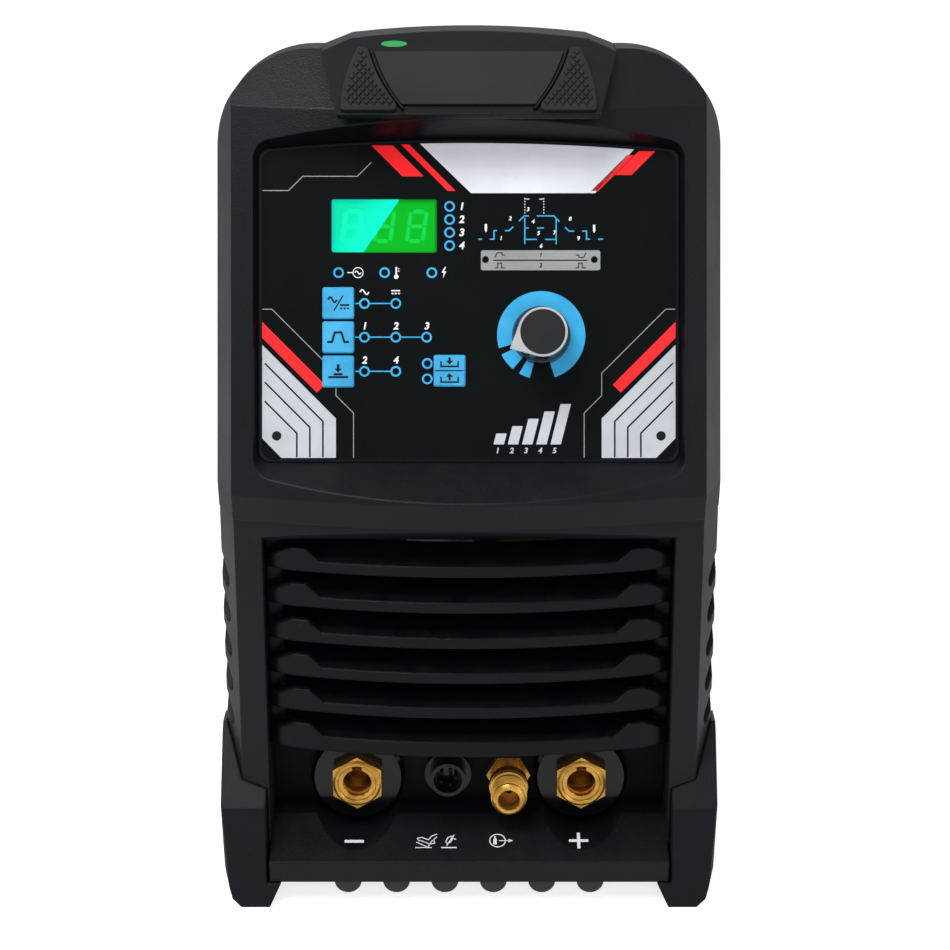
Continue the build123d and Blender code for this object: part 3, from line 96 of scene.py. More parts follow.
def newGroup(name, inputs, outputs):
    group = bpy.data.node_groups.new(name, "ShaderNodeTree")
    for socketName, kind, value in inputs:
        socket = group.interface.new_socket(socketName, in_out="INPUT", socket_type="NodeSocket" + kind)
        socket.default_value = value
    for socketName, kind in outputs:
        group.interface.new_socket(socketName, in_out="OUTPUT", socket_type="NodeSocket" + kind)
    return group, group.nodes.new("NodeGroupInput"), group.nodes.new("NodeGroupOutput")


def addNode(tree, kind, values=None, **options):
    node = tree.nodes.new("ShaderNode" + kind)
    for key, value in options.items():
        setattr(node, key, value)
    for key, value in (values or {}).items():
        node.inputs[key].default_value = value
    return node


def addMath(tree, operation, first, second):
    node = addNode(tree, "Math", operation=operation)
    for index, value in enumerate((first, second)):
        if isinstance(value, (int, float)):
            node.inputs[index].default_value = value
        else:
            tree.links.new(value, node.inputs[index])
    return node.outputs[0]


def mapRange(tree, value, low, high, newLow=0.0, newHigh=1.0):
    node = addNode(tree, "MapRange", {1: low, 2: high, 3: newLow, 4: newHigh}, clamp=True)
    tree.links.new(value, node.inputs[0])
    return node.outputs[0]


def makeMouldGrain():  # the fine etched texture of moulded plastic, and slow blotches
    group, given, out = newGroup(
        "mouldGrain",
        [("Scale", "Float", 1500.0), ("Blotch Scale", "Float", 22.0)],
        [("Height", "Float"), ("Fleck", "Float"), ("Blotch", "Float")],
    )
    place = addNode(group, "TexCoord").outputs["Object"]
    fine = addNode(group, "TexNoise", {"Detail": 3.0, "Roughness": 0.62})
    cells = addNode(group, "TexVoronoi", feature="SMOOTH_F1")
    slow = addNode(group, "TexNoise", {"Detail": 4.0, "Roughness": 0.55})
    for node in (fine, cells, slow):
        group.links.new(place, node.inputs["Vector"])
    group.links.new(given.outputs["Scale"], fine.inputs["Scale"])
    group.links.new(addMath(group, "MULTIPLY", given.outputs["Scale"], 0.8), cells.inputs["Scale"])
    group.links.new(given.outputs["Blotch Scale"], slow.inputs["Scale"])
    height = addMath(group, "ADD", fine.outputs["Fac"], addMath(group, "MULTIPLY", cells.outputs["Distance"], 0.8))
    group.links.new(height, out.inputs["Height"])
    group.links.new(mapRange(group, fine.outputs["Fac"], 0.35, 0.7), out.inputs["Fleck"])
    group.links.new(mapRange(group, slow.outputs["Fac"], 0.3, 0.7), out.inputs["Blotch"])
    return group


def makeFineScuffs():  # thin rubbed marks that lie in patches
    group, given, out = newGroup(
        "fineScuffs",
        [("Scale", "Float", 260.0), ("Amount", "Float", 0.3)],
        [("Mask", "Float")],
    )
    place = addNode(group, "TexCoord").outputs["Object"]
    marks = []
    for angle, stretch in ((0.5, 0.04), (-0.9, 0.06)):
        turn = addNode(group, "Mapping", {"Rotation": (0.3, angle, angle), "Scale": (1, stretch, 1)})
        group.links.new(place, turn.inputs["Vector"])
        noise = addNode(group, "TexNoise", {"Detail": 2.0, "Roughness": 0.5})
        group.links.new(turn.outputs[0], noise.inputs["Vector"])
        group.links.new(given.outputs["Scale"], noise.inputs["Scale"])
        marks.append(mapRange(group, noise.outputs["Fac"], 0.66, 0.74))
    patches = addNode(group, "TexNoise", {"Scale": 14.0, "Detail": 2.0})
    group.links.new(place, patches.inputs["Vector"])
    both = addMath(group, "MAXIMUM", *marks)
    masked = addMath(group, "MULTIPLY", both, mapRange(group, patches.outputs["Fac"], 0.45, 0.65))
    group.links.new(addMath(group, "MULTIPLY", masked, given.outputs["Amount"]), out.inputs["Mask"])
    return group


def makeSettledDust():  # a light film on faces that look up
    group, given, out = newGroup(
        "settledDust",
        [("Amount", "Float", 0.2)],
        [("Mask", "Float")],
    )
    place = addNode(group, "TexCoord").outputs["Object"]
    facing = addNode(group, "SeparateXYZ")
    group.links.new(addNode(group, "NewGeometry").outputs["Normal"], facing.inputs[0])
    specks = addNode(group, "TexNoise", {"Scale": 90.0, "Detail": 6.0, "Roughness": 0.7})
    group.links.new(place, specks.inputs["Vector"])
    upward = mapRange(group, facing.outputs["Z"], 0.35, 1.0)
    loose = addMath(group, "MULTIPLY", upward, mapRange(group, specks.outputs["Fac"], 0.3, 0.75))
    group.links.new(addMath(group, "MULTIPLY", loose, given.outputs["Amount"]), out.inputs["Mask"])
    return group


def makeTurnedMetal():  # fine tool marks across a metal's length, and a slow tarnish
    group, given, out = newGroup(
        "turnedMetal",
        [("Scale", "Float", 900.0)],
        [("Height", "Float"), ("Tarnish", "Float")],
    )
    place = addNode(group, "TexCoord").outputs["Object"]
    stretch = addNode(group, "Mapping", {"Scale": (0.15, 1, 0.15)})
    group.links.new(place, stretch.inputs["Vector"])
    lines = addNode(group, "TexNoise", {"Detail": 2.0})
    slow = addNode(group, "TexNoise", {"Scale": 120.0, "Detail": 5.0, "Roughness": 0.6})
    group.links.new(stretch.outputs[0], lines.inputs["Vector"])
    group.links.new(place, slow.inputs["Vector"])
    group.links.new(given.outputs["Scale"], lines.inputs["Scale"])
    group.links.new(lines.outputs["Fac"], out.inputs["Height"])
    group.links.new(mapRange(group, slow.outputs["Fac"], 0.35, 0.7), out.inputs["Tarnish"])
    return group


mouldGrain = makeMouldGrain()
fineScuffs = makeFineScuffs()
settledDust = makeSettledDust()
turnedMetal = makeTurnedMetal()


def addGroup(tree, group, values):
    node = tree.nodes.new("ShaderNodeGroup")
    node.node_tree = group
    for key, value in values.items():
        node.inputs[key].default_value = value
    return node


def mixColour(tree, amount, first, second):
    node = addNode(tree, "Mix", data_type="RGBA")
    for socket, value in ((node.inputs[0], amount), (node.inputs[6], first), (node.inputs[7], second)):
        if isinstance(value, (tuple, int, float)):
            socket.default_value = value
        else:
            tree.links.new(value, socket)
    return node.outputs[2]


def startMaterial(name):
    material = bpy.data.materials.new(name)
    material.use_nodes = True
    tree = material.node_tree
    return material, tree, tree.nodes["Principled BSDF"]


def plasticFinish(name, finish):  # moulded, painted, printed and rubber finishes
    material, tree, shader = startMaterial(name)
    grain = addGroup(tree, mouldGrain, {"Scale": finish["grain"], "Blotch Scale": finish.get("blotch", 22.0)})
    scuffs = addGroup(tree, fineScuffs, {"Amount": finish.get("scuffs", 0.0)})
    dust = addGroup(tree, settledDust, {"Amount": finish.get("dust", 0.0)})
    tone = mixColour(tree, grain.outputs["Blotch"], finish["dark"], finish["light"])
    fleck = addMath(tree, "MULTIPLY", grain.outputs["Fleck"], finish.get("fleck", 0.15))
    flecked = mixColour(tree, fleck, tone, finish["light"])
    rubbed = mixColour(tree, scuffs.outputs["Mask"], flecked, finish.get("rubbed", finish["light"]))
    dusty = mixColour(tree, dust.outputs["Mask"], rubbed, srgb(120, 118, 112))
    tree.links.new(dusty, shader.inputs["Base Color"])
    low, high = finish["roughness"]
    rough = mapRange(tree, grain.outputs["Blotch"], 0, 1, low, high)
    rougher = addMath(tree, "ADD", rough, addMath(tree, "MULTIPLY", dust.outputs["Mask"], 0.3))
    if finish.get("edge"):  # a moulded texture has no mirror sheen where it turns away
        turning = addNode(tree, "LayerWeight", {"Blend": 0.5}).outputs["Facing"]
        rougher = addMath(tree, "ADD", rougher, mapRange(tree, turning, 0.6, 0.95, 0.0, 0.5))
    tree.links.new(rougher, shader.inputs["Roughness"])
    bump = addNode(tree, "Bump", {"Strength": finish.get("strength", 0.5), "Distance": finish.get("depth", 0.08) * mm})
    tree.links.new(grain.outputs["Height"], bump.inputs["Height"])
    if finish.get("edge"):  # the mould's small edge radius
        rounding = addNode(tree, "Bevel", {"Radius": finish["edge"] * mm}, samples=4)
        tree.links.new(rounding.outputs[0], bump.inputs["Normal"])
    tree.links.new(bump.outputs[0], shader.inputs["Normal"])
    shader.inputs["Specular IOR Level"].default_value = finish.get("specular", 0.4)
    if "glow" in finish:
        tree.links.new(dusty, shader.inputs["Emission Color"])
        shader.inputs["Emission Strength"].default_value = finish["glow"]
    return material


def metalFinish(name, finish):
    material, tree, shader = startMaterial(name)
    turned = addGroup(tree, turnedMetal, {"Scale": 900.0})
    tone = mixColour(tree, turned.outputs["Tarnish"], finish["dark"], finish["light"])
    tree.links.new(tone, shader.inputs["Base Color"])
    low, high = finish["roughness"]
    tree.links.new(mapRange(tree, turned.outputs["Tarnish"], 0, 1, high, low), shader.inputs["Roughness"])
    bump = addNode(tree, "Bump", {"Strength": 0.25, "Distance": 0.03 * mm})
    tree.links.new(turned.outputs["Height"], bump.inputs["Height"])
    tree.links.new(bump.outputs[0], shader.inputs["Normal"])
    shader.inputs["Metallic"].default_value = finish.get("metallic", 1.0)
    return material


finishes = {
    "shell": {
        "dark": srgb(6, 8, 13), "light": srgb(10, 12, 19), "grain": 1500.0, "roughness": (0.32, 0.4),
        "strength": 0.7, "depth": 0.12, "specular": 0.14, "scuffs": 0.12, "dust": 0.02, "rubbed": srgb(48, 49, 52),
        "edge": 1.1,
    },
    "shell_low": {
        "dark": srgb(3, 4, 9), "light": srgb(6, 7, 13), "grain": 1500.0, "roughness": (0.26, 0.34),
        "strength": 0.6, "depth": 0.1, "specular": 0.1, "scuffs": 0.12, "dust": 0.02, "rubbed": srgb(46, 47, 52),
        "edge": 1.6,
    },
    "foot": {
        "dark": srgb(8, 10, 15), "light": srgb(13, 15, 21), "grain": 1500.0, "roughness": (0.4, 0.5),
        "strength": 0.6, "depth": 0.1, "specular": 0.1, "scuffs": 0.15, "dust": 0.02, "rubbed": srgb(46, 47, 52),
        "edge": 1.4,
    },
    "overlay": {
        "dark": srgb(6, 10, 11), "light": srgb(11, 14, 15), "grain": 2600.0, "roughness": (0.42, 0.5),
        "strength": 0.25, "depth": 0.03, "specular": 0.03, "scuffs": 0.08, "fleck": 0.4, "rubbed": srgb(34, 35, 37),
    },
    "key": {
        "dark": srgb(44, 132, 174), "light": srgb(66, 160, 206), "grain": 1800.0, "blotch": 60.0,
        "roughness": (0.4, 0.5), "strength": 0.2, "depth": 0.03, "specular": 0.15, "scuffs": 0.1,
    },
    "digit": {
        "dark": srgb(20, 226, 112), "light": srgb(30, 238, 126), "grain": 1200.0, "roughness": (0.5, 0.6), "glow": 0.15,
        "specular": 0.1,
    },
    "lens": {
        "dark": srgb(2, 3, 5), "light": srgb(5, 6, 9), "grain": 2400.0, "roughness": (0.2, 0.3),
        "strength": 0.1, "depth": 0.01, "specular": 0.08,
    },
    "knob": {
        "dark": srgb(14, 18, 28), "light": srgb(20, 26, 40), "grain": 1800.0, "roughness": (0.16, 0.24),
        "strength": 0.15, "depth": 0.02, "specular": 0.5, "scuffs": 0.2, "rubbed": srgb(80, 86, 100),
    },
    "knob_ring": {
        "dark": srgb(138, 139, 139), "light": srgb(166, 167, 167), "grain": 1600.0, "roughness": (0.32, 0.42),
        "strength": 0.2, "depth": 0.03, "scuffs": 0.2, "rubbed": srgb(120, 118, 112),
    },
    "rubber": {
        "dark": srgb(18, 20, 23), "light": srgb(26, 28, 32), "grain": 1300.0, "roughness": (0.42, 0.52),
        "strength": 0.4, "depth": 0.06, "specular": 0.16, "dust": 0.02,
        "edge": 0.6,
    },
    "badge": {
        "dark": srgb(16, 17, 19), "light": srgb(24, 25, 27), "grain": 3000.0, "roughness": (0.3, 0.4),
        "strength": 0.15, "depth": 0.02, "specular": 0.25, "scuffs": 0.12, "rubbed": srgb(50, 52, 55),
        "edge": 0.4,
    },
    "cover": {
        "dark": srgb(16, 17, 19), "light": srgb(24, 25, 27), "grain": 900.0, "roughness": (0.42, 0.55),
        "strength": 0.6, "depth": 0.1, "specular": 0.25, "scuffs": 0.2, "dust": 0.05, "rubbed": srgb(60, 60, 62),
        "edge": 0.5,
    },
    "pan": {
        "dark": srgb(20, 21, 24), "light": srgb(30, 31, 35), "grain": 1100.0, "roughness": (0.4, 0.52),
        "strength": 0.5, "depth": 0.08, "specular": 0.3, "scuffs": 0.15, "dust": 0.03, "rubbed": srgb(74, 76, 80),
        "edge": 0.5,
    },
    "black_gloss": {
        "dark": srgb(3, 3, 4), "light": srgb(6, 6, 8), "grain": 1400.0, "roughness": (0.1, 0.18),
        "strength": 0.12, "depth": 0.02, "specular": 0.22, "scuffs": 0.1, "rubbed": srgb(24, 24, 27),
    },
    "board": {
        "dark": srgb(18, 74, 42), "light": srgb(32, 108, 60), "grain": 700.0, "roughness": (0.25, 0.4),
        "strength": 0.4, "depth": 0.05, "fleck": 0.7, "rubbed": srgb(170, 160, 90), "scuffs": 0.4,
    },
    "ferrite": {
        "dark": srgb(36, 36, 38), "light": srgb(52, 52, 55), "grain": 800.0, "roughness": (0.6, 0.75), "fleck": 0.5,
    },
    "winding": {
        "dark": srgb(150, 88, 30), "light": srgb(196, 126, 48), "grain": 600.0, "roughness": (0.3, 0.45), "fleck": 0.6,
    },
    "capacitor": {
        "dark": srgb(18, 24, 44), "light": srgb(28, 36, 62), "grain": 900.0, "roughness": (0.25, 0.35), "dust": 0.1,
    },
    "hose": {
        "dark": srgb(20, 46, 96), "light": srgb(30, 62, 122), "grain": 900.0, "roughness": (0.4, 0.5), "dust": 0.1,
    },
    "chip": {
        "dark": srgb(20, 20, 21), "light": srgb(30, 30, 31), "grain": 1500.0, "roughness": (0.45, 0.6), "fleck": 0.5,
    },
    "fan": {
        "dark": srgb(14, 14, 15), "light": srgb(22, 22, 24), "grain": 1200.0, "roughness": (0.35, 0.45),
        "strength": 0.4, "depth": 0.05, "dust": 0.15,
    },
    "printWhite": {
        "dark": srgb(205, 206, 210), "light": srgb(222, 223, 227), "grain": 2200.0, "roughness": (0.42, 0.5),
        "strength": 0.2, "depth": 0.02, "specular": 0.3, "scuffs": 0.15, "rubbed": srgb(150, 150, 152),
    },
    "printPale": {
        "dark": srgb(188, 191, 197), "light": srgb(208, 211, 217), "grain": 2600.0, "blotch": 30.0,
        "roughness": (0.4, 0.5), "strength": 0.2, "depth": 0.02, "specular": 0.3, "fleck": 0.5,
        "scuffs": 0.15, "rubbed": srgb(165, 167, 170),
    },
    # the pale print made darker, painted shade that offsets the stronger light on the lower corner plates and the scale
    "printPaleShaded": {
        "dark": srgb(160, 163, 169), "light": srgb(180, 183, 189), "grain": 2600.0, "blotch": 30.0,
        "roughness": (0.4, 0.5), "strength": 0.2, "depth": 0.02, "specular": 0.2, "fleck": 0.5,
        "scuffs": 0.15, "rubbed": srgb(140, 142, 146),
    },
    "printSign": {
        "dark": srgb(184, 186, 192), "light": srgb(206, 208, 214), "grain": 2200.0, "roughness": (0.45, 0.55),
        "strength": 0.2, "depth": 0.02, "specular": 0.2, "scuffs": 0.1, "rubbed": srgb(140, 142, 148),
    },
    "plateBlack": {
        "dark": srgb(3, 3, 4), "light": srgb(6, 6, 7), "grain": 1300.0, "roughness": (0.5, 0.6),
        "strength": 0.4, "depth": 0.06, "specular": 0.08,
    },
    "printGrey": {
        "dark": srgb(120, 121, 124), "light": srgb(142, 143, 146), "grain": 2200.0, "roughness": (0.42, 0.5),
        "strength": 0.2, "depth": 0.02, "specular": 0.3, "fleck": 0.4,
    },
    "printRed": {
        "dark": srgb(240, 30, 36), "light": srgb(252, 42, 46), "grain": 2200.0, "roughness": (0.42, 0.5),
        "strength": 0.2, "depth": 0.02, "specular": 0.12, "scuffs": 0.05, "rubbed": srgb(190, 34, 38),
    },
    "printBlue": {
        "dark": srgb(42, 144, 194), "light": srgb(62, 164, 212), "grain": 2200.0, "blotch": 60.0,
        "roughness": (0.42, 0.5), "strength": 0.2, "depth": 0.02, "specular": 0.12,
    },
    "printBlack": {
        "dark": srgb(12, 13, 15), "light": srgb(18, 19, 22), "grain": 2200.0, "roughness": (0.42, 0.5),
        "strength": 0.2, "depth": 0.02, "specular": 0.12,
    },
    "stickerGreen": {
        "dark": srgb(22, 122, 56), "light": srgb(34, 146, 70), "grain": 1800.0, "roughness": (0.3, 0.4), "fleck": 0.3,
    },
}
metals = {
    "brass": {"dark": srgb(146, 106, 38), "light": srgb(198, 152, 70), "roughness": (0.22, 0.34), "metallic": 0.78},
    # a lighter copy of the brass, painted light that stands in for the bright reflections inside the socket bores
    "brassBoreLit": {"dark": srgb(180, 128, 52), "light": srgb(222, 172, 92), "roughness": (0.12, 0.22), "metallic": 0.85},
    "pinDark": {"dark": srgb(20, 20, 21), "light": srgb(34, 33, 32), "roughness": (0.35, 0.5)},
    "steel": {"dark": srgb(150, 152, 156), "light": srgb(190, 192, 196), "roughness": (0.25, 0.4)},
    "aluminium": {"dark": srgb(168, 170, 174), "light": srgb(206, 208, 212), "roughness": (0.3, 0.45)},
    "copper": {"dark": srgb(168, 92, 52), "light": srgb(214, 128, 84), "roughness": (0.25, 0.4)},
}
materials = {name: plasticFinish(name, finish) for name, finish in finishes.items()}
materials.update({name: metalFinish(name, finish) for name, finish in metals.items()})


def displayFinish():  # the lit green sheet behind the digits
    material, tree, shader = startMaterial("display")
    grain = addGroup(tree, mouldGrain, {"Scale": 900.0, "Blotch Scale": 40.0})
    tone = mixColour(tree, grain.outputs["Blotch"], srgb(0, 180, 24), srgb(0, 187, 30))
    tree.links.new(mixColour(tree, grain.outputs["Fleck"], srgb(0, 40, 6), srgb(0, 50, 8)), shader.inputs["Base Color"])
    tree.links.new(tone, shader.inputs["Emission Color"])
    tree.links.new(mapRange(tree, grain.outputs["Fleck"], 0, 1, 0.4, 0.5), shader.inputs["Roughness"])
    shader.inputs["Emission Strength"].default_value = 0.97
    shader.inputs["Specular IOR Level"].default_value = 0.1
    return material


def windowFinish():  # a thin clear film that glows green itself as painted light, with one slanting painted reflection across its left part
    material, tree, shader = startMaterial("window")
    place = addNode(tree, "TexCoord").outputs["Object"]
    split = addNode(tree, "SeparateXYZ")
    tree.links.new(place, split.inputs[0])
    low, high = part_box("display_window")
    middle = (low + high) / 2
    across = addMath(tree, "SUBTRACT", split.outputs["X"], middle.x)
    up = addMath(tree, "SUBTRACT", split.outputs["Z"], middle.z)
    edge = addMath(tree, "SUBTRACT", addMath(tree, "MULTIPLY", up, 0.72), across)
    # painted reflection: a slanting band across the left part is lighter, glows cyan-green and fades towards the right
    paintedGlareBand = mapRange(tree, edge, 1.0 * mm, 1.3 * mm)
    fade = mapRange(tree, edge, 1.0 * mm, 18 * mm, 0.6, 0.0)
    paintedGlareAmount = addMath(tree, "MULTIPLY", paintedGlareBand, fade)
    grain = addGroup(tree, mouldGrain, {"Scale": 500.0})
    tree.links.new(mixColour(tree, paintedGlareBand, srgb(0, 20, 4), srgb(0, 40, 24)), shader.inputs["Base Color"])
    # painted light: the clear film emits the display's green itself and covers the shade in the recess behind it
    tree.links.new(mixColour(tree, paintedGlareBand, srgb(0, 184, 28), srgb(0, 255, 224)), shader.inputs["Emission Color"])
    shader.inputs["Emission Strength"].default_value = 1.1
    shader.inputs["Specular IOR Level"].default_value = 0.15
    tree.links.new(addMath(tree, "ADD", addMath(tree, "MULTIPLY", paintedGlareAmount, 0.5), 0.32), shader.inputs["Alpha"])
    tree.links.new(mapRange(tree, grain.outputs["Blotch"], 0, 1, 0.12, 0.2), shader.inputs["Roughness"])
    return material


materials["display"] = displayFinish()
materials["window"] = windowFinish()
print("materials made,", len(materials))


def dress(nodeName, materialName):
    mesh = nodes[nodeName].data
    mesh.materials.clear()
    mesh.materials.append(materials[materialName])


slotOfNode = {sub["node"]: sub["material_slot"] for sub in frame["record"]["subparts"] if sub.get("material_slot")}
for nodeName in nodes:
    dress(nodeName, slotOfNode[nodeName])
dress("display_window", "window")
dress("connector_plate", "plateBlack")
dress("display_module", "display")
dress("control_pins", "pinDark")
for nodeName in ("front_foot_left", "front_foot_right", "rear_foot_left", "rear_foot_right"):
    dress(nodeName, "foot")
print("nodes dressed")


# flat shapes for prints, drawn in millimetres
def polygonCurve(outlines, thickness):  # inner outlines cut holes
    curve = bpy.data.curves.new("print", "CURVE")
    curve.dimensions = "2D"
    curve.fill_mode = "BOTH"
    curve.extrude = thickness / 2
    for outline in outlines:
        spline = curve.splines.new("POLY")
        spline.points.add(len(outline) - 1)
        for point, (x, y) in zip(spline.points, outline):
            point.co = (x, y, 0, 1)
        spline.use_cyclic_u = True
    return curve


numeralStyle = {"slant": 0.18, "weight": 0.032}


def numeralCurve(words, size, thickness):
    curve = bpy.data.curves.new("numeral", "FONT")
    curve.body = words
    curve.size = size
    curve.shear = numeralStyle["slant"]
    curve.offset = size * numeralStyle["weight"]
    curve.align_x = "CENTER"
    curve.align_y = "CENTER"
    curve.extrude = thickness / 2
    curve.resolution_u = 3
    return curve


def arcPoints(centre, radius, start, end, steps=24):
    return [
        (
            centre[0] + radius * math.cos(math.radians(start + (end - start) * step / steps)),
            centre[1] + radius * math.sin(math.radians(start + (end - start) * step / steps)),
        )
        for step in range(steps + 1)
    ]


def discOutline(centre, radius):
    return arcPoints(centre, radius, 0, 345, 23)


def ringOutlines(centre, outer, inner, steps=28):
    return [arcPoints(centre, radius, 0, 360 - 360 / steps, steps - 1) for radius in (outer, inner)]


def sectorOutline(centre, outer, inner, start, end):
    steps = max(3, int(abs(end - start) / 4))
    return arcPoints(centre, outer, start, end, steps) + arcPoints(centre, inner, end, start, steps)


def strokeOutline(points, width):  # a line of even width with mitred corners
    left, right = [], []
    for index, point in enumerate(points):
        here = Vector(point)
        before = (here - Vector(points[index - 1])).normalized() if index else None
        after = (Vector(points[index + 1]) - here).normalized() if index < len(points) - 1 else None
        along = ((before or after) + (after or before)).normalized()
        side = Vector((-along.y, along.x))
        share = max(0.4, side.dot(Vector((-(before or after).y, (before or after).x))))
        reach = side * (width / 2 / share)
        left.append(tuple(here + reach))
        right.append(tuple(here - reach))
    return left + right[::-1]


def boxOutline(left, low, right, high, corner=0.0):
    if not corner:
        return [(left, low), (right, low), (right, high), (left, high)]
    outline = []
    for x, y, start in (
        (right - corner, high - corner, 0), (left + corner, high - corner, 90),
        (left + corner, low + corner, 180), (right - corner, low + corner, 270),
    ):
        outline += arcPoints((x, y), corner, start, start + 90, 6)
    return outline


def flipped(outline):
    return [(-x, y) for x, y in outline]


printThickness = 0.05


def addPiece(name, materialName, made, body="chassis", smooth=False):
    bmesh.ops.recalc_face_normals(made, faces=made.faces)
    mesh = bpy.data.meshes.new(name)
    made.to_mesh(mesh)
    made.free()
    if smooth:
        for polygon in mesh.polygons:
            polygon.use_smooth = True
    mesh.materials.append(materials[materialName])
    piece = bpy.data.objects.new(name, mesh)
    bpy.context.scene.collection.objects.link(piece)
    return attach(piece, body)


def printPiece(name, materialName, face, lift, shapes=(), numerals=(), body="chassis"):
    made = bmesh.new()
    parts = [(polygonCurve(shape, printThickness), (0, 0)) for shape in shapes]
    parts += [(numeralCurve(words, size, printThickness), spot) for words, spot, size in numerals]
    for curve, spot in parts:
        carrier = bpy.data.objects.new("carrier", curve)
        bpy.context.scene.collection.objects.link(carrier)
        bpy.context.view_layer.update()
        flat = bpy.data.meshes.new_from_object(carrier.evaluated_get(bpy.context.evaluated_depsgraph_get()))
        flat.transform(Matrix.Translation((spot[0], spot[1], 0)))
        made.from_mesh(flat)
        bpy.data.objects.remove(carrier)
        bpy.data.meshes.remove(flat)
    bmesh.ops.remove_doubles(made, verts=made.verts, dist=1e-5)
    made.transform(face @ Matrix.Scale(mm, 4) @ Matrix.Translation((0, 0, lift + printThickness / 2)))
    return addPiece(name, materialName, made, body)


# control panel prints
leds = {
    "unit": [(-8.1, 39.7 - 5.5 * row) for row in range(4)],
    "status": [(-54.9, 11.8), (-35.5, 11.8), (-15.6, 11.8)],
    "mode": [
        (-44.0, -1.2), (-30.8, -1.2), (-44.0, -15.4), (-30.8, -15.4), (-17.8, -15.4), (-44.0, -29.8), (-30.8, -29.8),
    ],
    "memory": [(-17.5, -26.5), (-17.5, -33.0)],
    "cycle": [
        (7.2, 26.2), (13.5, 29.5), (19.9, 32.5), (27.0, 40.9), (27.0, 35.9), (27.0, 30.6),
        (30.4, 25.8), (33.9, 31.4), (39.7, 32.5), (46.1, 29.3), (52.8, 25.9),
    ],
    "strip": [(7.0, 17.3), (52.9, 17.3)],
    "ringOuter": 2.25,
    "ringInner": 1.45,
    "dot": 1.45,
    "cycleDot": 1.7,
}
art = {
    "paleTrapezoid": ((-20.6, 0.9), (69.6, 53.2), 45.3),
    "strip": (5.1, 12.8, 55.4, 21.2),
    "dialSegments": ((-72, 197), (206, 230), (240, 255)),
    "dialOuter": 18.6,
    "dialInner": 12.3,
    "line": 0.5,
    "thinLine": 0.35,
}
keys = {"size": 13.4, "pitch": 14.4, "column": -55.0, "row": -1.1, "memory": (-8.1, -29.6), "face": 1.8}
overlayLift = panel["overlayFace"]
secondLift = overlayLift + 0.06  # a print that lies on another print


def archHeight(across):  # the overlay's arched head
    return panel["sideTop"] + panel["archRise"] * (1 - (across / panel["halfWidth"]) ** 2)


ringed = leds["unit"] + leds["status"] + leds["mode"] + leds["memory"]
blueShapes = [ringOutlines(spot, leds["ringOuter"], leds["ringInner"]) for spot in ringed]
for start, end in art["dialSegments"]:
    blueShapes.append([sectorOutline(panel["knobSpot"], art["dialOuter"], art["dialInner"], start, end)])
keyEdge = keys["column"] + keys["size"] / 2 + 0.5
for row in (leds["mode"][:2], leds["mode"][2:5], leds["mode"][5:]):
    stops = [keyEdge - leds["ringOuter"]] + [spot[0] for spot in row]
    for before, after in zip(stops, stops[1:]):
        ends = [(before + leds["ringOuter"], row[0][1]), (after - leds["ringOuter"], row[0][1])]
        blueShapes.append([strokeOutline(ends, art["line"])])
cycleLine = [
    (4.0, 25.9), (10.6, 25.9), (10.6, 29.5), (17.0, 29.5), (23.4, 35.7), (35.8, 35.7), (42.2, 29.3), (49.6, 29.3),
    (49.6, 25.9), (56.6, 25.9),
]
blueShapes.append([strokeOutline(cycleLine, art["line"])])
for across in (23.6, 36.8):
    blueShapes.append([strokeOutline([(across, 34.9), (across, 23.8)], art["line"])])
blueShapes.append([strokeOutline([(23.9, 25.8), (36.5, 25.8)], art["line"])])
blueShapes.append([strokeOutline([(23.9, 30.6), (31.6, 30.6)], art["line"])])
printPiece("panelBluePrint", "printBlue", panelFace, overlayLift, blueShapes)

dotShapes = [[discOutline(spot, leds["dot"])] for spot in ringed + leds["strip"]]
dotShapes += [[discOutline(spot, leds["cycleDot"])] for spot in leds["cycle"]]
printPiece("panelLampWindows", "lens", panelFace, secondLift, dotShapes)

plateLeft, plateRight, plateLow = art["paleTrapezoid"]  # each side's top and foot, and the height of the foot
headPoints = [
    (across, archHeight(across) - 0.5)
    for across in [plateLeft[0] + (plateRight[0] - plateLeft[0]) * step / 12 for step in range(13)]
]
paleShapes = [[headPoints + [(plateRight[1], plateLow), (plateLeft[1], plateLow)]]]
stripBox = boxOutline(*art["strip"], 0.8)
printPiece("panelPalePlate", "printPale", panelFace, overlayLift, paleShapes)
printPiece("panelStrip", "printGrey", panelFace, overlayLift, [[stripBox]])
stripLine = [[strokeOutline([(10.2, 17.0), (50.0, 17.0)], 0.5)]]
printPiece("panelStripLine", "printBlack", panelFace, secondLift, stripLine)


# slanted bars beside the pale plate
def slantedBar(start, run, width):
    end = (start[0] + run, start[1] - run)
    return [start, (start[0] + width, start[1]), (end[0] + width, end[1]), end]


redShapes = [
    [slantedBar((-41.0, archHeight(-41) - 0.6), 13.0, 9.0)],
    [slantedBar((-28.6, archHeight(-28) - 0.6), 19.6, 3.4)],
    [flipped(slantedBar((-78.6, archHeight(78) - 0.6), 10.0, 7.0))],
    [flipped(slantedBar((-69.6, archHeight(69) - 3.0), 15.0, 3.0))],
    [[(-87.1, -9.0), (-87.1, -15.6), (-64.0, -38.7), (-60.7, -35.4)]],
    [flipped([(-87.1, -9.0), (-87.1, -15.6), (-64.0, -38.7), (-60.7, -35.4)])],
]
printPiece("panelRedBars", "printRed", panelFace, overlayLift, redShapes)

cornerPlate = [(-87.1, -18.6), (-56.0, -49.7), (-56.0, -66.3), (-79.0, -66.3), (-87.1, -58.0)]
cornerPale = [[cornerPlate], [flipped(cornerPlate)]]
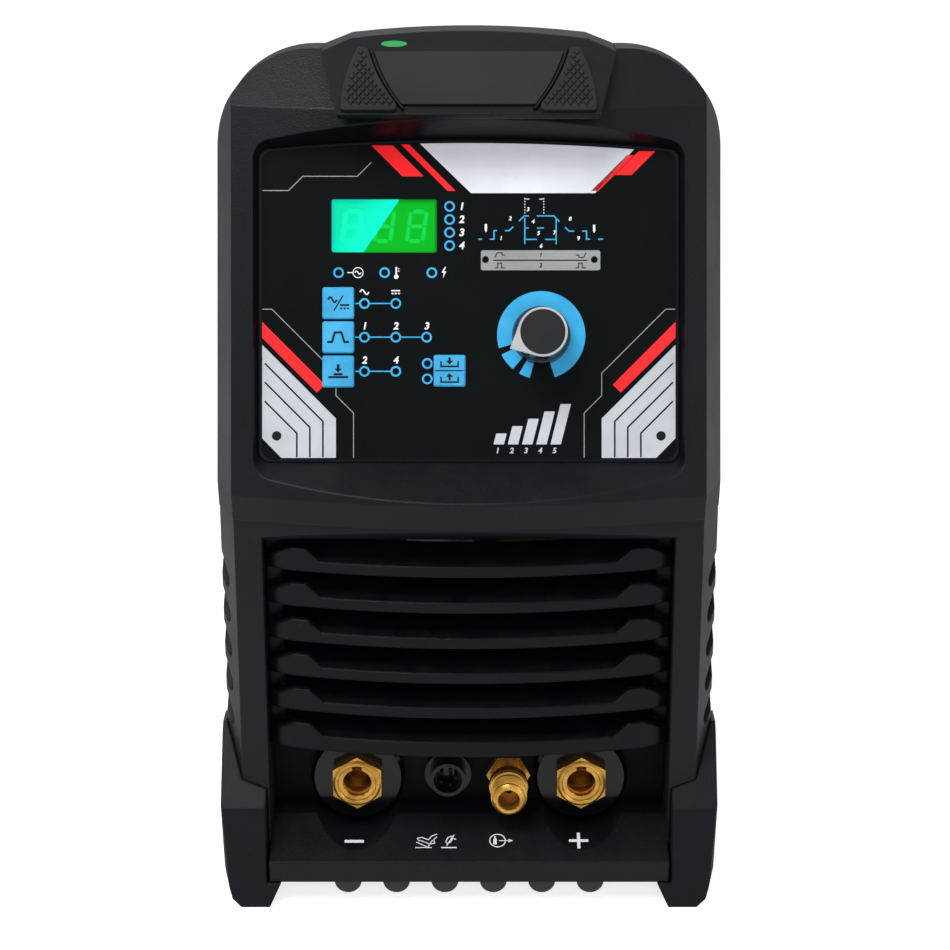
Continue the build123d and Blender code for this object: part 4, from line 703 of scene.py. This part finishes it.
# the corner plates take the darker copy of the pale print, painted shade
printPiece("panelCornerPlates", "printPaleShaded", panelFace, overlayLift, cornerPale)
cornerDark = [
    [strokeOutline([(-86.0, -26.4), (-61.5, -50.9), (-61.5, -66.0)], 0.7)],
    [strokeOutline([(-86.0, -34.4), (-67.0, -53.4), (-67.0, -66.0)], 0.7)],
    [strokeOutline([(-86.0, -42.4), (-72.5, -55.9), (-72.5, -66.0)], 0.7)],
    [discOutline((-81.0, -57.0), 2.0)],
]
cornerDark += [[flipped(shape[0])] for shape in cornerDark]
printPiece("panelCornerLines", "printBlack", panelFace, secondLift, cornerDark)

greyRoutes = [
    [(-87.0, -3.6), (-83.0, -3.6), (-56.0, -30.6), (-56.0, -40.0), (-48.6, -47.4), (-48.6, -66.2)],
    [(-87.0, 46.4), (-76.0, 46.4), (-70.0, 52.4), (-47.0, 52.4), (-41.0, 58.4)],
]
greyLines = [strokeOutline(route, art["thinLine"]) for route in greyRoutes]
greyLines.append(flipped(greyLines[0]))
printPiece("panelGreyLines", "printGrey", panelFace, overlayLift, [[line] for line in greyLines])


# signs: small outlines in millimetres, each about its own middle
def moved(shapes, spot, scale=1.0):
    def place(outline):
        return [(x * scale + spot[0], y * scale + spot[1]) for x, y in outline]

    return [[place(outline) for outline in shape] for shape in shapes]


def waveLine(width, height, steps=16):
    return [
        (width * (step / steps - 0.5), height / 2 * math.sin(2 * math.pi * step / steps))
        for step in range(steps + 1)
    ]


def bar(x, y, width, height):
    return [boxOutline(x - width / 2, y - height / 2, x + width / 2, y + height / 2)]


signs = {
    "alternating": [[strokeOutline(waveLine(3.8, 1.9), 0.55)]],
    "direct": [bar(0, 0.6, 3.6, 0.55)] + [bar(x, -0.6, 0.9, 0.55) for x in (-1.35, 0, 1.35)],
    "mains": [
        ringOutlines((0.9, 0), 2.3, 1.95), bar(-2.5, 0, 2.2, 0.4),
        [strokeOutline([(x + 0.9, y) for x, y in waveLine(2.6, 1.4)], 0.4)],
    ],
    "heat": [
        [boxOutline(-0.32, -1.2, 0.32, 2.4, 0.3)], [discOutline((0, -1.7), 0.95)],
        bar(1.0, 1.6, 0.7, 0.3), bar(1.0, 0.6, 0.7, 0.3),
    ],
    "fault": [[[(0.5, 2.4), (-0.9, 0.0), (0.1, 0.0), (-0.4, -2.4), (1.1, 0.5), (0.1, 0.5), (1.0, 2.4)]]],
    "rod": [[[(-0.45, 3.4), (0.45, 3.4), (0.5, 0.9), (0, -0.2), (-0.5, 0.9)]]],
    "block": [[strokeOutline([(-2.2, -1.0), (-1.0, -1.0), (-1.0, 1.0), (0.6, 1.0), (0.6, -1.0), (2.2, -1.0)], 0.4)]],
    "slope": [[strokeOutline([(-2.2, -1.0), (-1.2, 1.0), (0.8, 1.0), (0.8, 0.0), (2.2, 0.0)], 0.4)]],
    "trapezoid": [
        [strokeOutline([(-4.6, -2.0), (-2.6, -2.0), (-1.4, 2.0), (1.4, 2.0), (2.6, -2.0), (4.6, -2.0)], 0.9)],
    ],
    "press": [
        [strokeOutline([(-4.2, -2.4), (4.2, -2.4)], 0.9)], [boxOutline(-1.9, -1.7, 1.9, -0.7, 0.4)],
        [[(-0.55, 3.0), (0.55, 3.0), (0.55, 1.2), (1.6, 1.2), (0, -0.4), (-1.6, 1.2), (-0.55, 1.2)]],
    ],
    "swap": [
        [strokeOutline([(x - 2.4, y + 1.4) for x, y in waveLine(3.8, 2.2)], 0.8)],
        [strokeOutline([(-1.7, -3.1), (2.0, 3.1)], 0.6)], bar(2.7, -0.9, 3.8, 0.75),
        bar(1.25, -2.3, 0.9, 0.75), bar(2.7, -2.3, 0.9, 0.75), bar(4.15, -2.3, 0.9, 0.75),
    ],
    "store": [
        [strokeOutline([(-3.6, 0.6), (-3.6, -1.6), (3.6, -1.6), (3.6, 0.6)], 0.7)],
        [[(-0.5, 2.2), (0.5, 2.2), (0.5, 0.8), (1.5, 0.8), (0, -0.8), (-1.5, 0.8), (-0.5, 0.8)]],
    ],
    "recall": [
        [strokeOutline([(-3.6, 0.6), (-3.6, -1.6), (3.6, -1.6), (3.6, 0.6)], 0.7)],
        [[(-0.5, -0.8), (0.5, -0.8), (0.5, 0.6), (1.5, 0.6), (0, 2.2), (-1.5, 0.6), (-0.5, 0.6)]],
    ],
    "minus": [bar(0, 0, 8.6, 1.5)],
    "plus": [[[
        (-0.7, 4.3), (0.7, 4.3), (0.7, 0.7), (4.3, 0.7), (4.3, -0.7), (0.7, -0.7),
        (0.7, -4.3), (-0.7, -4.3), (-0.7, -0.7), (-4.3, -0.7), (-4.3, 0.7), (-0.7, 0.7),
    ]]],
    "pedal": [
        [strokeOutline([(-4.9, -3.6), (2.4, -3.6)], 0.45)],
        [strokeOutline([(-4.6, -0.6), (0.6, -3.4), (2.6, 0.4)], 0.45)],
        [strokeOutline([(-4.2, 1.6), (-2.0, 1.9), (0.8, 0.6), (2.2, 2.6), (4.6, 3.8)], 0.45)],
        [strokeOutline(
            [(-4.2, 1.6), (-3.6, 0.4), (-0.8, -0.6), (1.4, -1.8), (3.6, -1.2), (3.2, 0.8), (4.6, 2.2)], 0.45,
        )],
    ],
    "torch": [
        bar(0, -3.6, 7.0, 0.6), [strokeOutline([(-0.9, -2.4), (0.6, 0.4), (2.4, 3.4)], 0.5)],
        [strokeOutline(
            [(-1.4, -0.4), (-0.4, 1.9), (1.0, 2.6), (1.6, 1.2), (0.8, -0.6), (-0.6, -1.6), (-1.4, -0.4)], 0.45,
        )],
        [strokeOutline([(1.9, 1.4), (3.2, 0.8)], 0.45)],
    ],
    "gas": [
        ringOutlines((0, 0), 3.7, 3.2), [boxOutline(-1.9, -2.1, -0.3, 1.0, 0.5)], bar(-1.1, 1.6, 0.7, 1.4),
        bar(2.9, 0, 4.4, 0.45), [[(6.9, 0), (4.9, 0.95), (4.9, -0.95)]],
    ],
}
whiteShapes = []
for sign, spot in (
    ("alternating", (-44.0, 3.6)), ("direct", (-30.8, 3.6)),
    ("mains", (-47.6, 11.8)), ("heat", (-30.6, 11.8)), ("fault", (-10.6, 11.8)),
    ("rod", (7.2, 28.9)), ("rod", (52.8, 28.6)),
):
    whiteShapes += moved(signs[sign], spot)
for across in (23.6, 31.6):  # dotted lines over the cycle
    whiteShapes += [bar(across, 37.0 + 1.2 * step, 0.3, 0.6) for step in range(6)]
for left, step in ((23.8, 1), (31.4, -1)):
    whiteShapes += [bar(left + 0.9 * step, 42.8, 1.6, 0.3)]
unitNumerals = [(str(row + 1), (spot[0] + 5.0, spot[1] - 0.1), 4.3) for row, spot in enumerate(leds["unit"])]
modeNumerals = [(mark, (spot[0], -10.8), 4.1) for mark, spot in zip("123", leds["mode"][2:5])]
modeNumerals += [(mark, (spot[0], -25.2), 4.1) for mark, spot in zip("24", leds["mode"][5:])]
cycleSpots = [
    (13.5, 26.3), (17.4, 34.6), (24.9, 38.4), (27.0, 33.3), (29.3, 28.4), (30.4, 23.0), (36.0, 28.6), (42.6, 34.4),
    (46.1, 26.2),
]
cycleNumerals = [(str(count + 1), spot, 2.3) for count, spot in enumerate(cycleSpots)]
whiteNumerals = unitNumerals + modeNumerals + cycleNumerals
printPiece("panelWhiteSigns", "printWhite", panelFace, overlayLift, whiteShapes, whiteNumerals)

stripShapes = moved(signs["slope"], (13.2, 19.2)) + moved(signs["block"], (13.2, 14.8))
stripShapes += moved(signs["slope"], (47.2, 19.2), -1.0) + moved(signs["block"], (47.2, 14.8))
stripNumerals = [("1", (30.2, 19.2), 2.6), ("2", (30.2, 14.8), 2.6)]
printPiece("panelStripSigns", "printBlack", panelFace, secondLift, stripShapes, stripNumerals)

scale = {"left": 10.4, "low": -60.6, "bars": 5, "pitch": 6.0, "width": 4.4, "first": 4.6, "step": 3.1, "slant": 0.25}
scaleShapes, scaleNumerals = [], []
for count in range(scale["bars"]):  # a plain rising scale under the dial
    left, tall = scale["left"] + count * scale["pitch"], scale["first"] + count * scale["step"]
    lean = tall * scale["slant"]
    scaleShapes.append([[
        (left, scale["low"]), (left + scale["width"], scale["low"]),
        (left + scale["width"] + lean, scale["low"] + tall), (left + lean, scale["low"] + tall),
    ]])
    scaleNumerals.append((str(count + 1), (left + scale["width"] / 2 - 0.6, scale["low"] - 2.7), 3.2))
printPiece("panelScale", "printPaleShaded", panelFace, overlayLift, scaleShapes, scaleNumerals)

keySpots = {
    "ac_dc_key": ("swap", (keys["column"], keys["row"])),
    "mode_key": ("trapezoid", (keys["column"], keys["row"] - keys["pitch"])),
    "trigger_key": ("press", (keys["column"], keys["row"] - 2 * keys["pitch"])),
}
for keyBody, (sign, spot) in keySpots.items():
    printPiece("sign_" + keyBody, "printBlack", panelFace, keys["face"], moved(signs[sign], spot), body=keyBody)
memoryX, memoryY = keys["memory"]
memoryShapes = moved(signs["store"], (memoryX, memoryY + 3.4)) + moved(signs["recall"], (memoryX, memoryY - 3.2))
memoryShapes += [bar(memoryX, memoryY, 12.2, 0.5)]
printPiece("sign_memory_key", "printBlack", panelFace, keys["face"], memoryShapes, body="memory_key")


# small solid pieces
def addTurned(made, centre, profile, steps=40):  # a closed profile of radius and setback, turned about its centre
    rings = []
    for step in range(steps):
        angle = 2 * math.pi * step / steps
        ring = []
        for radius, setback in profile:
            across, height = centre[0] + radius * math.cos(angle), centre[1] + radius * math.sin(angle)
            ring.append(made.verts.new(setbackPoint(setback, height, across)))
        rings.append(ring)
    for step, ring in enumerate(rings):
        following = rings[(step + 1) % steps]
        for index in range(len(profile)):
            after = (index + 1) % len(profile)
            made.faces.new((ring[index], ring[after], following[after], following[index]))


def addFrustum(made, face, low, high, base, top):  # two matching outlines in millimetres, joined
    lower = [made.verts.new(face @ Vector((x * mm, y * mm, base * mm))) for x, y in low]
    upper = [made.verts.new(face @ Vector((x * mm, y * mm, top * mm))) for x, y in high]
    made.faces.new(lower[::-1])
    made.faces.new(upper)
    for index in range(len(low)):
        after = (index + 1) % len(low)
        made.faces.new((lower[index], lower[after], upper[after], upper[index]))


blockFace = slopingFace((43.4, 343.7), (73.22, 368.37))
pads = {
    "low": -17.95, "high": 16.55, "badgeLow": 27.5, "badgeTop": 39.5, "badgeHalf": 14.55, "bulge": 1.4,
    "outerLow": 52.6, "outerHigh": 46.5, "outerBulge": 1.6, "thick": 1.6,
}
diamonds = {"cell": (3.2, 4.6), "start": 26, "rows": 9, "columns": 20, "foot": 0.9, "crown": 0.55, "rise": 0.7}
ridges = {"low": -17.2, "run": 33.6, "steps": 14, "foot": (0.45, 2.05), "crown": (0.85, 1.65), "rise": 1.9}
sunk = 0.1  # how far a raised form starts inside the face it stands on


def badgeSide(v):  # half width of the badge at a height up the slope
    part = v / pads["badgeHalf"]
    even = (pads["badgeLow"] + pads["badgeTop"]) / 2 + (pads["badgeTop"] - pads["badgeLow"]) / 2 * part
    return even + pads["bulge"] * (1 - part * part)


def padOuter(v):
    part = (v - pads["low"]) / (pads["high"] - pads["low"])
    return pads["outerLow"] + (pads["outerHigh"] - pads["outerLow"]) * part + pads["outerBulge"] * 4 * part * (1 - part)


lattice = bmesh.new()
cellWide, cellTall = diamonds["cell"]
for side in (-1, 1):
    for row in range(-diamonds["rows"], diamonds["rows"] + 1):
        for column in range(diamonds["columns"]):
            u = diamonds["start"] + column * cellWide + (row % 2) * cellWide / 2
            v = row * cellTall / 2
            corners = [(u + cellWide / 2, v), (u, v + cellTall / 2), (u - cellWide / 2, v), (u, v - cellTall / 2)]
            clear = all(
                pads["low"] + 0.5 < y < pads["high"] - 0.4 and badgeSide(y) + 2.7 < x < padOuter(y) - 0.4
                for x, y in corners
            )
            if not clear:
                continue
            full, small = (
                [(side * (u + (x - u) * share), v + (y - v) * share) for x, y in corners]
                for share in (diamonds["foot"], diamonds["crown"])
            )
            addFrustum(lattice, blockFace, full, small, pads["thick"] - sunk, pads["thick"] + diamonds["rise"])
addPiece("padLattice", "rubber", lattice)

ridge = bmesh.new()
for side in (-1, 1):
    for step in range(ridges["steps"]):  # one short length after another along the side of the badge
        v1, v2 = (ridges["low"] + ridges["run"] * (step + offset) / ridges["steps"] for offset in (0, 1))
        wide, slim = (
            [(side * (badgeSide(v) + edge), v) for v, edge in ((v1, near), (v1, far), (v2, far), (v2, near))]
            for near, far in (ridges["foot"], ridges["crown"])
        )
        addFrustum(ridge, blockFace, wide, slim, -sunk, ridges["rise"])
addPiece("badgeRidge", "shell", ridge)

dot = {"at": (-31.4, 19.9), "half": (5.4, 1.75)}
oval = [
    tuple(middle + half * part for middle, half, part in zip(dot["at"], dot["half"], point))
    for point in discOutline((0, 0), 1)
]
printPiece("greenDot", "stickerGreen", blockFace, 0.0, [[oval]])

sockets = {"across": 50.2, "height": 46.0, "front": 34.0, "bore": 6.5}
lips, sleeves = bmesh.new(), bmesh.new()
for across in (-sockets["across"], sockets["across"]):
    front, bore = sockets["front"], sockets["bore"]
    profile = [
        (bore + 1.9, front + 0.1), (bore + 1.9, front - 0.7), (bore + 2.2, front - 0.95), (bore + 3.3, front - 0.95),
        (bore + 4.25, front - 0.4), (bore + 4.25, front + 0.1),
    ]
    addTurned(lips, (across, sockets["height"]), profile, 56)
    addTurned(sleeves, (across, sockets["height"]), [(bore - 0.05, front + depth) for depth in (0.2, 18)] + [
        (bore, front + depth) for depth in (18, 0.2)], 48)
addPiece("socketLips", "brass", lips)
# the sleeves take the lighter brass copy, painted light for the bright bore
addPiece("socketSleeves", "brassBoreLit", sleeves, smooth=True)

outlet = {"at": (17.6, 46.0), "bore": 4.8}
thread = bmesh.new()
for setback in (19.4, 20.9, 22.4, 23.9, 25.4):
    crest = [(7.2, setback - 0.6), (7.95, setback - 0.1), (7.95, setback + 0.1), (7.2, setback + 0.6)]
    addTurned(thread, outlet["at"], crest)
addTurned(thread, outlet["at"], [(outlet["bore"] + 0.03, 17.1), (outlet["bore"] + 0.2, 16.7), (6.2, 16.6), (6.9, 17.1)])
addTurned(thread, outlet["at"], [(7.2, 27.6), (8.3, 28.1), (8.3, 29.3), (7.2, 29.8)])
addPiece("outletThread", "brass", thread)

ledgeFace = slopingFace((7.4, 20.7), (32.0, 32.6))
ledgeSpots = {
    "minus": (-51.0, -2.4), "pedal": (-18.9, -2.2), "torch": (-9.0, -2.2), "gas": (12.6, -2.0), "plus": (48.6, -2.0),
}
ledgeShapes = [shape for sign, spot in ledgeSpots.items() for shape in moved(signs[sign], spot)]
printPiece("ledgeSigns", "printSign", ledgeFace, 0.0, ledgeShapes)


def faceTowards(nodeName, heading, low, high):  # the mean spot and heading of a node's faces between two heights
    node = nodes[nodeName]
    turn = node.matrix_world.to_3x3()
    spot, out, total = Vector(), Vector(), 0.0
    for polygon in node.data.polygons:
        normal, centre = (turn @ polygon.normal).normalized(), node.matrix_world @ polygon.center
        if normal.dot(heading) > 0.9 and low < centre.z < high:
            spot, out, total = spot + centre * polygon.area, out + normal * polygon.area, total + polygon.area
    return spot / total, out.normalized()


rockerLow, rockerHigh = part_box("switch_rocker")
rockerMiddle = (rockerLow.z + rockerHigh.z) / 2
for name, low, high, shape in (
    ("rockerOff", rockerLow.z, rockerMiddle, [ringOutlines((0, 0), 2.6, 2.0)]),
    ("rockerOn", rockerMiddle, rockerHigh.z, [bar(0, 0, 0.8, 5.2)]),
):
    spot, out = faceTowards("switch_rocker", Vector((0, 1, 0)), low, high)
    printPiece(name, "printWhite", placeOf(spot, -acrossAxis, out.cross(-acrossAxis)), 0.0, shape, body="rocker")

screws = {"along": (-95, 20, 135), "height": 26}
screwLow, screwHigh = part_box("cover_screws")
screwShapes = [
    [[(-2.1, -0.4), (-0.4, -0.4), (-0.4, -2.1), (0.4, -2.1), (0.4, -0.4), (2.1, -0.4),
      (2.1, 0.4), (0.4, 0.4), (0.4, 2.1), (-0.4, 2.1), (-0.4, 0.4), (-2.1, 0.4)]],
]
crossShapes = [piece for along in screws["along"] for piece in moved(screwShapes, (along, screws["height"]))]
rightFace = placeOf(Vector((screwHigh.x, 0, 0)), Vector((0, 1, 0)), Vector((0, 0, 1)))
leftFace = placeOf(Vector((screwLow.x, 0, 0)), Vector((0, -1, 0)), Vector((0, 0, 1)))
printPiece("screwCrossRight", "printBlack", rightFace, 0.0, crossShapes)
turnedShapes = [[flipped(outline) for outline in shape] for shape in crossShapes]
printPiece("screwCrossLeft", "printBlack", leftFace, 0.0, turnedShapes)
print("small pieces set")


# camera, light and floor
camera = {"from": (0.0026, -1.0862, 0.4821), "towards": (0.0026, -0.2112, 0.1978), "lens": 83.4, "sensor": 36}
studio = {"aimHeight": 0.19, "worldLight": 0.4, "floorGlow": 0.75, "floorHalf": 6}
cameraData = bpy.data.cameras.new("camera")
cameraData.lens = camera["lens"]
cameraData.sensor_width = camera["sensor"]
cameraObject = bpy.data.objects.new("camera", cameraData)
bpy.context.scene.collection.objects.link(cameraObject)
cameraObject.location = camera["from"]
cameraObject.rotation_euler = (Vector(camera["towards"]) - Vector(camera["from"])).to_track_quat("-Z", "Y").to_euler()
bpy.context.scene.camera = cameraObject

lamps = {
    "overhead": {"at": (-0.5, -0.85, 1.5), "size": (0.9, 0.55), "power": 22.0},
    "leftStrip": {"at": (-1.5, -1.1, 0.8), "size": (0.4, 1.0), "power": 4.0, "mirrored": False},
    "rightStrip": {"at": (1.5, -1.1, 0.8), "size": (0.4, 1.0), "power": 3.0},
    "frontFill": {"at": (0.1, -2.0, 0.7), "size": (1.6, 1.0), "power": 12.0, "mirrored": False},
    "behind": {"at": (0.0, 1.4, 1.2), "size": (1.6, 0.8), "power": 10.0},
}
for lampName, lamp in lamps.items():
    light = bpy.data.lights.new(lampName, "AREA")
    light.shape = "RECTANGLE"
    light.size, light.size_y = lamp["size"]
    light.energy = lamp["power"]
    lampObject = bpy.data.objects.new(lampName, light)
    bpy.context.scene.collection.objects.link(lampObject)
    lampObject.location = lamp["at"]
    lampObject.visible_glossy = lamp.get("mirrored", True)
    aim = Vector((0, 0, studio["aimHeight"])) - Vector(lamp["at"])
    lampObject.rotation_euler = aim.to_track_quat("-Z", "Y").to_euler()

world = bpy.data.worlds.new("studio")
bpy.context.scene.world = world
world.use_nodes = True
worldTree = world.node_tree
background = worldTree.nodes["Background"]
background.inputs["Color"].default_value = (1, 1, 1, 1)


def shownRays(tree):  # the camera sees the white background, and so do metal and glass
    rays = tree.nodes.new("ShaderNodeLightPath").outputs
    seen = addMath(tree, "MAXIMUM", rays["Is Camera Ray"], rays["Is Transmission Ray"])
    return addMath(tree, "MAXIMUM", seen, rays["Is Glossy Ray"])


strength = addMath(worldTree, "MAXIMUM", shownRays(worldTree), studio["worldLight"])
worldTree.links.new(strength, background.inputs["Strength"])

floorMesh = bpy.data.meshes.new("floor")
half = studio["floorHalf"]
floorMesh.from_pydata([(-half, -half, 0), (half, -half, 0), (half, half, 0), (-half, half, 0)], [], [(0, 1, 2, 3)])
floor = bpy.data.objects.new("floor", floorMesh)
bpy.context.scene.collection.objects.link(floor)
floorMaterial, floorTree, floorShader = startMaterial("floorWhite")
floorGrain = addNode(floorTree, "TexNoise", {"Scale": 3.0, "Detail": 2.0})
floorTone = mixColour(floorTree, floorGrain.outputs["Fac"], (0.62, 0.62, 0.63, 1), (0.66, 0.66, 0.66, 1))
floorTree.links.new(floorTone, floorShader.inputs["Base Color"])
floorShader.inputs["Roughness"].default_value = 0.9
floorShader.inputs["Specular IOR Level"].default_value = 0.1
floorShader.inputs["Emission Color"].default_value = (1, 1, 1, 1)
floorGlow = addMath(floorTree, "MULTIPLY", shownRays(floorTree), studio["floorGlow"])
floorTree.links.new(floorGlow, floorShader.inputs["Emission Strength"])
floorMesh.materials.append(floorMaterial)

bpy.context.scene.view_settings.view_transform = "Standard"
print("studio set")
